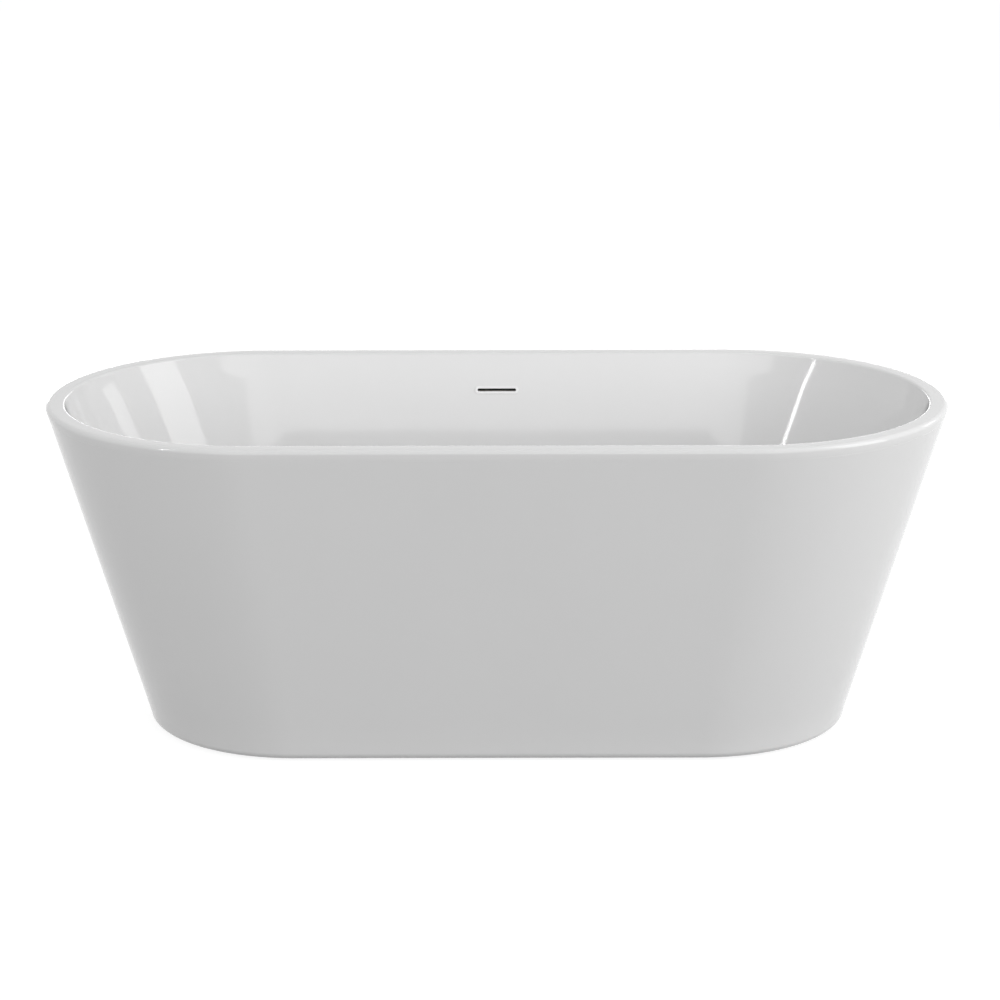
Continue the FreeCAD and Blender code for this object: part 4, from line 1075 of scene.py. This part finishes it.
class TUB_OT_fasteners(bpy.types.Operator):
    """Make every screw, bolt and nut of the frame and the overflow"""

    bl_idname = "tub.fasteners"
    bl_label = "Fasteners"

    def execute(self, context):
        down, up = Vector((0, 0, -1)), Vector((0, 0, 1))
        screws = solids_of("frame_screws")
        low, high = screws[0]
        head = 3 * MM
        radius = 2.2 * MM
        places = [((a.x + b.x) / 2, (a.y + b.y) / 2, a.z + head) for a, b in screws]
        mesh = pan_screw((high.x - low.x) / 2, head, radius, high.z - low.z - head)
        piece("frame_screws", copies(mesh, places, [down] * len(places), "zinc_steel"), "zinc_steel",
              ["frame_screws"])
        self.bolts()
        screws = solids_of("skirt_flange_screws")
        low, high = screws[0]
        head = 2.5 * MM
        places = [((a.x + b.x) / 2, (a.y + b.y) / 2, b.z - head) for a, b in screws]
        mesh = pan_screw((high.x - low.x) / 2, head, 2.5 * MM, high.z - low.z - head)
        piece("flange_screws", copies(mesh, places, [up] * len(places), "zinc_steel"), "zinc_steel",
              ["skirt_flange_screws"])
        self.overflow_screws()
        for node in ("foot_weld_nuts", "foot_lock_nuts"):
            nuts = solids_of(node)
            low, high = nuts[0]
            mesh = hex_nut(high.y - low.y, 6.1 * MM, high.z - low.z)
            places = [((a.x + b.x) / 2, (a.y + b.y) / 2, a.z) for a, b in nuts]
            piece(node, copies(mesh, places, [up] * len(places), "zinc_steel"), "zinc_steel", [node])
        return {"FINISHED"}

    def bolts(self):
        """Bolts of the skirt brackets, heads outwards."""
        flats, head, radius, reach = 10 * MM, 4 * MM, 3 * MM, 9 * MM
        places = []
        ways = []
        for low, high in solids_of("skirt_bracket_bolts"):
            centre = (low + high) / 2
            k = 0 if high.x - low.x > high.y - low.y else 1
            sign = math.copysign(1, centre[k])
            spot = centre.copy()
            spot[k] = (high[k] if sign > 0 else low[k]) - sign * head
            way = Vector((0, 0, 0))
            way[k] = sign
            places.append(spot)
            ways.append(way)
        mesh = copies(hex_bolt(flats, head, radius, reach), places, ways, "zinc_steel")
        piece("bracket_bolts", mesh, "zinc_steel", ["skirt_bracket_bolts"])

    def overflow_screws(self):
        """Screws in the overflow body's ears, heads to the rear."""
        outwards = -wall_frame().col[2].to_3d()
        head, reach = 2.2 * MM, 7.5 * MM
        places = [(a + b) / 2 + outwards * (reach - head) / 2 for a, b in solids_of("overflow_screws")]
        mesh = copies(pan_screw(4 * MM, head, 2 * MM, reach), places, [outwards] * len(places), "zinc_steel")
        piece("overflow_screws", mesh, "zinc_steel", ["overflow_screws"])


class TUB_OT_feet(bpy.types.Operator):
    """Make the four levelling feet: ribbed nylon pads and threaded stems"""

    bl_idname = "tub.feet"
    bl_label = "Levelling feet"

    def execute(self, context):
        for node in sorted(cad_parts):
            if node.startswith("foot_pad_"):
                self.pad(node)
            if node.startswith("foot_stem_"):
                self.stem(node)
        return {"FINISHED"}

    def pad(self, node):
        """Round pad with a socket and eight ribs from its neck to its edge."""
        low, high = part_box(node)
        x, y = (low.x + high.x) / 2, (low.y + high.y) / 2
        radius = (high.x - low.x) / 2
        neck, socket, edge = 13 * MM, 6.06 * MM, 6 * MM
        top = high.z
        rows = [(0.0, 0.0), (radius - 5 * MM, 0.0), (radius - 4 * MM, 0.6 * MM), (radius - 3 * MM, 0.0)]
        rows += arc_rows(radius - 1 * MM, 1 * MM, 1 * MM, -90, 0, 4)
        rows += arc_rows(radius - 1.5 * MM, edge - 1.5 * MM, 1.5 * MM, 0, 90, 5)
        rows += [(neck + 3 * MM, edge), (neck + 1 * MM, edge + 1 * MM), (neck, edge + 3 * MM)]
        rows += arc_rows(neck - 1 * MM, top - 1 * MM, 1 * MM, 0, 90, 4)
        rows += [(socket, top), (socket, 5 * MM), (0.0, 5 * MM)]
        parts = [spun(rows, 64)]
        for k in range(8):
            rib = bmesh.new()
            outline = [(neck - 1 * MM, edge - 1 * MM), (radius - 2 * MM, edge - 1 * MM),
                       (radius - 2 * MM, edge + 0.6 * MM), (neck - 1 * MM, top - 3 * MM)]
            sides = [[rib.verts.new((px, t * MM, pz)) for px, pz in outline] for t in (-0.8, 0.8)]
            rib.faces.new(sides[0])
            rib.faces.new(sides[1])
            for i in range(4):
                n = (i + 1) % 4
                rib.faces.new((sides[0][i], sides[0][n], sides[1][n], sides[1][i]))
            parts.append(moved(as_mesh(rib, "rib"), Matrix.Rotation(math.tau * k / 8, 4, "Z")))
        mesh = moved(joined(parts, node), Matrix.Translation((x, y, 0)))
        piece(node, mesh, "pad_plastic", [node], node.replace("foot_", ""))

    def stem(self, node):
        """M12 stem with rolled thread and the hexagonal collar above the pad."""
        s = sizes()
        low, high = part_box(node)
        x, y = (low.x + high.x) / 2, (low.y + high.y) / 2
        flats = high.y - low.y
        radius = 6 * MM
        collar_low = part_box(node.replace("stem", "pad"))[1].z + 0.3 * MM
        collar_high = collar_low + 8 * MM
        rim = flats / 2 * CROWN
        rows = [(0.0, low.z), (radius - 0.8 * MM, low.z), (radius, low.z + 0.8 * MM), (radius, collar_low),
                (rim, collar_low), (hexagon(flats), chamfered(flats, collar_low, -1)),
                (hexagon(flats), chamfered(flats, collar_high, 1)), (rim, collar_high),
                (radius - s.thread_depth, collar_high)]
        per_turn = 6
        z = collar_high + 0.5 * MM
        while z < high.z - 1.2 * MM:
            def thread(angle, z=z):
                """Radius of the rolled thread at this height by angle."""
                phase = (z / s.thread_pitch - angle / math.tau) % 1.0
                return radius - s.thread_depth * min(1.0, 1.25 * abs(2 * phase - 1))

            rows.append((thread, z))
            z += s.thread_pitch / per_turn
        rows += [(radius - s.thread_depth, high.z - 0.8 * MM), (radius - 1.6 * MM, high.z), (0.0, high.z)]
        mesh = spun(rows, 36, centre=(x, y))
        piece(node, mesh, "zinc_steel", [node], node.replace("foot_", ""))


def barbed_nozzle(radius, bore, reach):
    """Hose nozzle along +Z from z = 0, with three barbs and its bore."""
    rows = [(radius, 0.0)]
    for k in range(3):
        z = reach * (0.4 + 0.2 * k)
        rows += [(radius - 0.4 * MM, z), (radius, z + 0.3 * MM), (radius - 0.4 * MM, z + reach * 0.15)]
    rows += [(radius - 0.8 * MM, reach), (bore, reach), (bore, 0.0)]
    return spun(rows, 40, closed=True)


class TUB_OT_waste(bpy.types.Operator):
    """Make the waste: flange, gaskets, tee, tailpiece, slip nut and click cartridge"""

    bl_idname = "tub.waste"
    bl_label = "Waste"

    def execute(self, context):
        self.flange()
        self.tee()
        self.tailpiece()
        keep_node("drain_gasket_top", "rubber")
        keep_node("drain_slip_washer", "rubber")
        low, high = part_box("drain_gasket_bottom")
        outer, inner = high.x, TUBE_BORE
        rows = [(inner, low.z), (outer - 1 * MM, low.z), (outer, low.z + 1 * MM),
                (outer - 0.8 * MM, low.z + 2 * MM), (outer, low.z + 3 * MM), (outer, high.z - 0.6 * MM),
                (outer - 0.6 * MM, high.z), (inner, high.z)]
        piece("lower_gasket", spun(rows, 96, closed=True), "rubber", ["drain_gasket_bottom"])
        low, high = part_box("click_cartridge")
        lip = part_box("drain_flange")[1].z - 24 * MM
        rows = [(4.06 * MM, low.z + 2 * MM), (8 * MM, low.z), (9 * MM, low.z + 1 * MM)]
        for k in range(3):
            z = low.z + (3 + 3 * k) * MM
            rows += [(9 * MM, z), (8.5 * MM, z + 0.3 * MM), (8.5 * MM, z + 1 * MM), (9 * MM, z + 1.3 * MM)]
        rows += [(9 * MM, lip), (11 * MM, lip), (11 * MM, lip + 1.6 * MM), (10.6 * MM, lip + 2 * MM),
                 (9 * MM, lip + 2 * MM), (9 * MM, high.z - 0.6 * MM), (8.4 * MM, high.z), (4.6 * MM, high.z),
                 (4.06 * MM, high.z - 0.5 * MM)]
        piece("click_cartridge", spun(rows, 48, closed=True), "brass", ["click_cartridge"])
        return {"FINISHED"}

    def flange(self):
        """Chromed flange, its threaded tube and the four-armed spider inside."""
        low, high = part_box("drain_flange")
        radius, tube, bore = high.x, 23 * MM, 20 * MM
        face, under = high.z, high.z - 3 * MM
        rows = [(bore, low.z), (tube - 0.6 * MM, low.z)]
        z = low.z + 0.6 * MM
        while z < under - 4 * MM:
            rows += [(tube, z), (tube - 0.5 * MM, z + 0.75 * MM)]
            z += 1.5 * MM
        rows += [(tube, under - 3 * MM), (tube, under)]
        rows += [(radius - 0.4 * MM, under), (radius, under + 0.4 * MM)]
        rows += arc_rows(radius - 1.8 * MM, face - 1.8 * MM, 1.8 * MM, 0, 90, 6)
        rows += [(bore + 7 * MM, face - 0.2 * MM), (bore + 3 * MM, face - 0.9 * MM)]
        rows += [(bore + 0.6 * MM, face - 1.8 * MM), (bore, face - 3 * MM)]
        parts = [spun(rows, 96, closed=True)]
        top = face - 24 * MM
        bottom = top - 5 * MM
        parts.append(spun([(9.1 * MM, bottom), (12 * MM, bottom), (12 * MM, top - 0.5 * MM), (11.5 * MM, top),
                           (9.1 * MM, top)], 48, closed=True))
        for k in range(4):
            arm = rounded_block((11.5 * MM, -1.5 * MM, bottom), (bore + 1 * MM, 1.5 * MM, top), 0.5 * MM, 2)
            parts.append(moved(arm, Matrix.Rotation(QUARTER * k, 4, "Z")))
        piece("waste_flange", joined(parts, "flange"), "chrome", ["drain_flange"])

    def tee(self):
        """Tee body with its stiffening ribs and the barbed nozzle for the hose."""
        low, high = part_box("drain_tee")
        radius, neck, chamber = high.x, 29 * MM, 24 * MM
        top, bottom = high.z, low.z
        collar = top - 5 * MM
        neck_z = collar - 32 * MM
        rows = [(TAIL_BORE, bottom), (chamber - 0.5 * MM, bottom)]
        z = bottom + 0.5 * MM
        while z < bottom + 10 * MM:
            rows += [(chamber, z), (chamber - 0.6 * MM, z + 1 * MM)]
            z += 2 * MM
        rows += [(chamber, bottom + 11 * MM), (chamber, neck_z - 5 * MM)]
        rows += [(neck, neck_z), (neck, collar - 2 * MM)]
        rows += [(neck + 2 * MM, collar), (radius - 0.6 * MM, collar), (radius, collar + 0.6 * MM)]
        rows += [(radius, top - 0.6 * MM), (radius - 0.6 * MM, top), (TUBE_BORE, top), (TUBE_BORE, neck_z)]
        rows += [(19 * MM, neck_z), (19 * MM, bottom + 11.6 * MM), (TAIL_BORE, bottom + 11.6 * MM)]
        parts = [spun(rows, 96, closed=True)]
        lowest = (neck - 1 * MM, -1 * MM, neck_z + 3 * MM)
        highest = (radius - 2.5 * MM, 1 * MM, collar + 0.5 * MM)
        for k in range(12):
            rib = rounded_block(lowest, highest, 0.4 * MM, 2)
            parts.append(moved(rib, Matrix.Rotation(math.tau * (k + 0.5) / 12, 4, "Z")))
        start = 21.5 * MM
        nozzle = barbed_nozzle(7.5 * MM, 5.5 * MM, high.y - start)
        turn = Matrix.Translation((0, start, bottom + 22 * MM)) @ Matrix.Rotation(-QUARTER, 4, "X")
        parts.append(moved(nozzle, turn))
        piece("waste_tee", joined(parts, "tee"), "waste_plastic", ["drain_tee"])

    def tailpiece(self):
        """Outlet pipe with its bead, and the grip-ribbed slip nut that holds it."""
        low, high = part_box("drain_tailpiece")
        outer, bore, bead = 20 * MM, 17 * MM, high.x
        nut_low, nut_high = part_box("drain_slip_nut")
        ring_z = nut_low.z - 2 * MM
        rows = [(bore + 0.6 * MM, low.z), (outer - 1.2 * MM, low.z), (outer, low.z + 1.2 * MM)]
        rows += [(outer, ring_z - 1 * MM), (bead - 0.4 * MM, ring_z - 1 * MM), (bead, ring_z - 0.6 * MM)]
        rows += [(bead, ring_z + 0.6 * MM), (bead - 0.4 * MM, ring_z + 1 * MM), (outer, ring_z + 1 * MM)]
        rows += [(outer, high.z), (bore, high.z), (bore, low.z + 0.6 * MM)]
        piece("outlet_pipe", spun(rows, 96, closed=True), "waste_plastic", ["drain_tailpiece"])
        grip = 31 * MM

        def ribbed(angle):
            """Radius of the nut's grip ribs by angle."""
            return grip - 1.6 * MM * (0.5 + 0.5 * math.cos(12 * angle)) ** 3

        z0, z1 = nut_low.z, nut_high.z
        rows = [(TAIL_BORE, z0), (grip - 4 * MM, z0), (ribbed, z0 + 2 * MM), (ribbed, z1 - 1 * MM)]
        rows += [(grip - 2.5 * MM, z1), (CHAMBER_BORE, z1)]
        rows += [(CHAMBER_BORE, z0 + 4 * MM), (TAIL_BORE, z0 + 4 * MM)]
        piece("slip_nut", spun(rows, 144, closed=True), "waste_plastic", ["drain_slip_nut"])


class TUB_OT_plug(bpy.types.Operator):
    """Make the click plug: domed cap, seal and stem"""

    bl_idname = "tub.plug"
    bl_label = "Click plug"

    def execute(self, context):
        low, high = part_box("plug_cap")
        seal_low, seal_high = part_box("plug_seal")
        radius = high.x
        under = seal_high.z
        edge = under + 2.5 * MM
        dome = high.z - edge
        ball = (radius ** 2 + dome ** 2) / (2 * dome)
        rows = [(4 * MM, under - 1 * MM), (4 * MM, low.z + 0.4 * MM), (4.4 * MM, low.z), (7.6 * MM, low.z)]
        rows += [(8 * MM, low.z + 0.4 * MM), (8 * MM, under - 0.6 * MM), (8.6 * MM, under)]
        rows += [(radius - 0.5 * MM, under), (radius, under + 0.5 * MM), (radius, edge - 0.4 * MM)]
        for k in range(13):
            r = (radius - 0.3 * MM) * (1 - k / 12)
            rows.append((r, high.z - ball + math.sqrt(ball ** 2 - r ** 2)))
        cap = spun([(0.0, under - 1 * MM)] + rows, 96)
        piece("plug_cap", cap, "chrome", ["plug_cap"], "plug")
        outer, inner = seal_high.x, 21.5 * MM
        rows = [(inner, seal_low.z + 0.4 * MM), (inner + 0.6 * MM, seal_low.z + 0.4 * MM)]
        rows += [(outer - 1.4 * MM, seal_low.z), (outer - 0.4 * MM, seal_low.z + 0.2 * MM)]
        rows += [(outer, seal_low.z + 0.8 * MM), (outer - 0.3 * MM, seal_high.z), (inner, seal_high.z)]
        piece("plug_seal", spun(rows, 96, closed=True), "rubber", ["plug_seal"], "plug")
        low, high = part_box("plug_stem")
        rows = [(0.0, low.z), (3 * MM, low.z), (4 * MM, low.z + 1 * MM), (4 * MM, low.z + 8 * MM)]
        rows += [(3.5 * MM, low.z + 8.4 * MM), (3.5 * MM, low.z + 10 * MM), (4 * MM, low.z + 10.4 * MM)]
        rows += [(4 * MM, high.z - 1.2 * MM), (0.0, high.z - 1.2 * MM)]
        piece("plug_stem", spun(rows, 40), "brass", ["plug_stem"], "plug")
        return {"FINISHED"}


class TUB_OT_overflow(bpy.types.Operator):
    """Make the slot's surround, the corrugated hose and its clips, and finish the box behind the wall"""

    bl_idname = "tub.overflow"
    bl_label = "Overflow"

    def execute(self, context):
        s = sizes()
        half_length, half_height = s.slot_length / 2, s.slot_height / 2
        border, proud, round_off = s.trim_border, s.trim_proud, 0.6 * MM
        rows = [(half_length, half_height, -0.2 * MM),
                (half_length + border, half_height + border, -0.2 * MM)]
        for k in range(5):
            angle = QUARTER * k / 4
            grow = border - round_off + round_off * math.cos(angle)
            height = proud - round_off + round_off * math.sin(angle)
            rows.append((half_length + grow, half_height + grow, height))
        for k in range(5):
            angle = QUARTER * (1 - k / 4)
            grow = round_off - round_off * math.cos(angle)
            height = proud - round_off + round_off * math.sin(angle)
            rows.append((half_length + grow, half_height + grow, height))
        rows.append(rows[0])
        trim = moved(stadium_shell(rows, "trim_white", 24), wall_frame())
        piece("slot_surround", trim, "trim_white", ["overflow_trim"])
        # Thin black rubber lining down the slot's sides: drawn as the gasket's lip, and put there as painted
        # shadow so that the slot reads black.
        thick, deep, clear = 0.3 * MM, 13 * MM, 0.02 * MM
        front = proud - 0.4 * MM
        rows = [(half_length - clear, half_height - clear, z) for z in (front, -deep)]
        rows += [(half_length - thick, half_height - thick, z) for z in (-deep, front)]
        piece("slot_lip", moved(stadium_shell(rows + rows[:1], "rubber", 24), wall_frame()), "rubber")
        keep_node("overflow_gasket", "rubber")
        keep_node("overflow_body", "black_plastic")
        self.hose()
        return {"FINISHED"}

    def route(self):
        """The hose's route: down the box's nozzle, down between the shells, then in under the rear rail."""
        s = sizes()
        lean = math.atan(s.side_slope)
        down = Vector((0, -math.sin(lean), -math.cos(lean)))
        out = -wall_frame().col[2].to_3d()
        nozzle_end = wall_frame().translation + out * 19.5 * MM + down * 62 * MM
        start = nozzle_end - down * 20 * MM
        knee_z = s.floor_z + s.side_corner
        knee = nozzle_end + down * ((nozzle_end.z - knee_z) / math.cos(lean))
        low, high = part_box("overflow_hose")
        inlet_z = low.z + 10 * MM
        skirt_y = skirt_point(inlet_z)[1] - s.skin - 2.5 * MM
        corner = Vector((0, skirt_y - 16 * MM, inlet_z))
        end = Vector((0, low.y, inlet_z))
        bend = 100 * MM
        above = corner + (knee - corner).normalized() * bend
        inside = corner + (end - corner).normalized() * bend
        return [start, knee, above, corner, inside, end]

    def hose(self):
        """Corrugated hose and the two worm-drive clips."""
        s = sizes()
        points = self.route()
        curve = bpy.data.curves.new("route", "CURVE")
        curve.dimensions = "3D"
        curve.resolution_u = 48
        spline = curve.splines.new("NURBS")
        spline.points.add(len(points) - 1)
        for k, point in enumerate(points):
            spline.points[k].co = (*point, 1.0)
        spline.order_u = 3
        spline.use_endpoint_u = True
        values = {"Radius": 10 * MM, "Rib Pitch": s.rib_pitch, "Rib Depth": s.rib_depth, "Cuff": 24 * MM,
                  "Material": finish("hose_plastic")}
        tube = grown(tree_of(hose_tree), curve, values)
        work = bmesh.new()
        work.from_mesh(tube)
        bmesh.ops.recalc_face_normals(work, faces=work.faces)
        bmesh.ops.solidify(work, geom=work.faces, thickness=1.0 * MM)
        piece("overflow_hose", as_mesh(work, "hose"), "hose_plastic", ["overflow_hose"])
        ends = ((points[0], points[1] - points[0], "hose_clip_top"),
                (points[-1], points[-2] - points[-1], "hose_clip_bottom"))
        for spot, way, node in ends:
            low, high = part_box(node)
            self.clip(node, spot + way.normalized() * 10 * MM, way, (low + high) / 2)

    def clip(self, node, centre, way, towards):
        """Worm-drive clip: slotted band and a screw housing on the side given by the frame."""
        inner, thick, half = 10.05 * MM, 1.2 * MM, 4.5 * MM
        outer = inner + thick
        band = [(inner, -half), (outer - 0.3 * MM, -half), (outer, 0.3 * MM - half), (outer, half - 0.3 * MM),
                (outer - 0.3 * MM, half), (inner, half)]
        parts = [spun(band, 64, closed=True)]
        for k in range(20):
            angle = math.radians(40 + 14 * k)
            notch = rounded_block((outer - 0.3 * MM, -0.4 * MM, -half * 0.6),
                                  (outer + 0.25 * MM, 0.4 * MM, half * 0.6), 0.15 * MM, 1)
            parts.append(moved(notch, Matrix.Rotation(angle, 4, "Z")))
        parts.append(rounded_block((outer - 0.8 * MM, -4 * MM, -3 * MM),
                                   (outer + 5 * MM, 4 * MM, 3 * MM), 1 * MM))
        head = moved(hex_bolt(6 * MM, 3 * MM, 2.4 * MM, 8 * MM), Matrix.Rotation(-QUARTER, 4, "X"))
        parts.append(moved(head, Matrix.Translation((outer + 2 * MM, 3.2 * MM, 0))))
        z_axis = way.normalized()
        x_axis = towards - centre
        x_axis = (x_axis - z_axis * x_axis.dot(z_axis)).normalized()
        y_axis = z_axis.cross(x_axis)
        matrix = Matrix((x_axis, y_axis, z_axis)).transposed().to_4x4()
        matrix.translation = centre
        piece(node, moved(joined(parts, node), matrix), "zinc_steel", [node])


# Each lamp: name, place, the point it faces, width and height in metres, and power in watts.
LAMPS = (
    ("key_right", (3.5, -1.35, 2.0), (0.0, 0.1, 0.6), 1.9, 3.8, 64.0),
    ("panel_front", (0.0, -7.5, 1.7), (0.0, 0.0, 0.4), 7.0, 2.6, 88.0),
    ("strip_left", (-2.9, -2.3, 2.2), (0.6, 0.3, 0.5), 0.14, 1.8, 15.0),
    ("window_right", (2.9, 1.6, 1.5), (-0.7, 0.15, 0.5), 0.8, 0.7, 3.0),
    ("panel_back", (0.0, 6.5, 0.6), (0.0, 0.0, 0.3), 6.0, 1.0, 90.0),
)
WORLD_LIGHT = 0.53
FLOOR_GLOW = 0.86


class TUB_OT_stage(bpy.types.Operator):
    """Set the pale floor, the soft studio light and the camera"""

    bl_idname = "tub.stage"
    bl_label = "Stage"

    def execute(self, context):
        scene = bpy.context.scene
        scene.view_settings.view_transform = "Standard"
        self.floor()
        self.world(scene)
        for lamp in LAMPS:
            self.lamp(*lamp)
        self.camera(scene)
        return {"FINISHED"}

    def shown(self, tree):
        """One where the camera, a reflection or a clear piece shows the background, else nought."""
        ray = add_node(tree, "ShaderNodeLightPath")
        seen = add_node(tree, "ShaderNodeMath",
                        {0: ray.outputs["Is Camera Ray"], 1: ray.outputs["Is Glossy Ray"]},
                        operation="MAXIMUM")
        return add_node(tree, "ShaderNodeMath",
                        {0: seen.outputs[0], 1: ray.outputs["Is Transmission Ray"]}, operation="MAXIMUM")

    def floor(self):
        """White floor that keeps a faint shadow under the tub."""
        material = bpy.data.materials.new("Studio floor, matt white")
        material.use_nodes = True
        tree = material.node_tree
        tree.nodes.clear()
        matt = add_node(tree, "ShaderNodeBsdfDiffuse", {"Color": colours().floor})
        seen = add_node(tree, "ShaderNodeBsdfDiffuse", {"Color": linear("#8F8F8F")})
        glow = add_node(tree, "ShaderNodeEmission", {"Strength": FLOOR_GLOW})
        bright = add_node(tree, "ShaderNodeAddShader", {0: seen.outputs[0], 1: glow.outputs[0]})
        shown = self.shown(tree)
        mix = add_node(tree, "ShaderNodeMixShader",
                       {"Fac": shown.outputs[0], 1: matt.outputs[0], 2: bright.outputs[0]})
        add_node(tree, "ShaderNodeOutputMaterial", {"Surface": mix.outputs[0]})
        half = 40.0
        mesh = bpy.data.meshes.new("floor")
        corners = [(-half, -half, 0), (half, -half, 0), (half, half, 0), (-half, half, 0)]
        mesh.from_pydata(corners, [], [(0, 1, 2, 3)])
        mesh.materials.append(material)
        floor = bpy.data.objects.new("floor", mesh)
        bpy.context.scene.collection.objects.link(floor)

    def world(self, scene):
        """Even studio light, white where the camera looks past the floor."""
        world = bpy.data.worlds.new("Studio")
        world.use_nodes = True
        tree = world.node_tree
        tree.nodes.clear()
        shown = self.shown(tree)
        dim = add_node(tree, "ShaderNodeBackground", {"Color": (1, 1, 1, 1), "Strength": WORLD_LIGHT})
        white = add_node(tree, "ShaderNodeBackground", {"Color": (1, 1, 1, 1), "Strength": 1.0})
        mix = add_node(tree, "ShaderNodeMixShader",
                       {"Fac": shown.outputs[0], 1: dim.outputs[0], 2: white.outputs[0]})
        add_node(tree, "ShaderNodeOutputWorld", {"Surface": mix.outputs[0]})
        scene.world = world

    def lamp(self, name, place, target, width, height, power):
        """Soft area lamp aimed at a point."""
        light = bpy.data.lights.new(name, "AREA")
        light.shape = "RECTANGLE"
        light.size = width
        light.size_y = height
        light.energy = power
        lamp = bpy.data.objects.new(name, light)
        lamp.location = place
        lamp.rotation_euler = (Vector(target) - Vector(place)).to_track_quat("-Z", "Y").to_euler()
        bpy.context.scene.collection.objects.link(lamp)

    def camera(self, scene):
        """Camera in front of the tub, a little above its rim, level but for a slight roll."""
        view = bpy.data.cameras.new("camera")
        view.lens = 119.05
        view.sensor_width = 36.0
        view.shift_x = 0.0047
        view.clip_end = 200.0
        camera = bpy.data.objects.new("camera", view)
        camera.location = (0.0, -5.72, 2.0)
        pitch, roll = 0.273, 0.0019
        camera.rotation_euler = (QUARTER - pitch, roll, 0.0)
        bpy.context.scene.collection.objects.link(camera)
        scene.camera = camera


OPERATORS = (
    TUB_OT_stage, TUB_OT_basin, TUB_OT_skirt, TUB_OT_backings, TUB_OT_frame, TUB_OT_fasteners, TUB_OT_feet,
    TUB_OT_waste, TUB_OT_plug, TUB_OT_overflow,
)


class TUB_PT_panel(bpy.types.Panel):
    """Lists the tub's operators"""

    bl_label = "Bathtub"
    bl_idname = "TUB_PT_panel"
    bl_space_type = "VIEW_3D"
    bl_region_type = "UI"
    bl_category = "Bathtub"

    def draw(self, context):
        for operator in OPERATORS:
            self.layout.operator(operator.bl_idname)


CLASSES = (TubSizes, TubColours, *OPERATORS, TUB_PT_panel)


def register():
    """Registers the classes and hangs the settings on the scene."""
    for cls in CLASSES:
        bpy.utils.register_class(cls)
    bpy.types.Scene.tub_sizes = bpy.props.PointerProperty(type=TubSizes)
    bpy.types.Scene.tub_colours = bpy.props.PointerProperty(type=TubColours)


def unregister():
    """Removes the settings and the classes."""
    del bpy.types.Scene.tub_colours
    del bpy.types.Scene.tub_sizes
    for cls in reversed(CLASSES):
        bpy.utils.unregister_class(cls)


def main():
    """Registers the classes and runs every operator in order."""
    register()
    for operator in OPERATORS:
        group, name = operator.bl_idname.split(".")
        getattr(getattr(bpy.ops, group), name)()


if __name__ == "__main__":
    main()
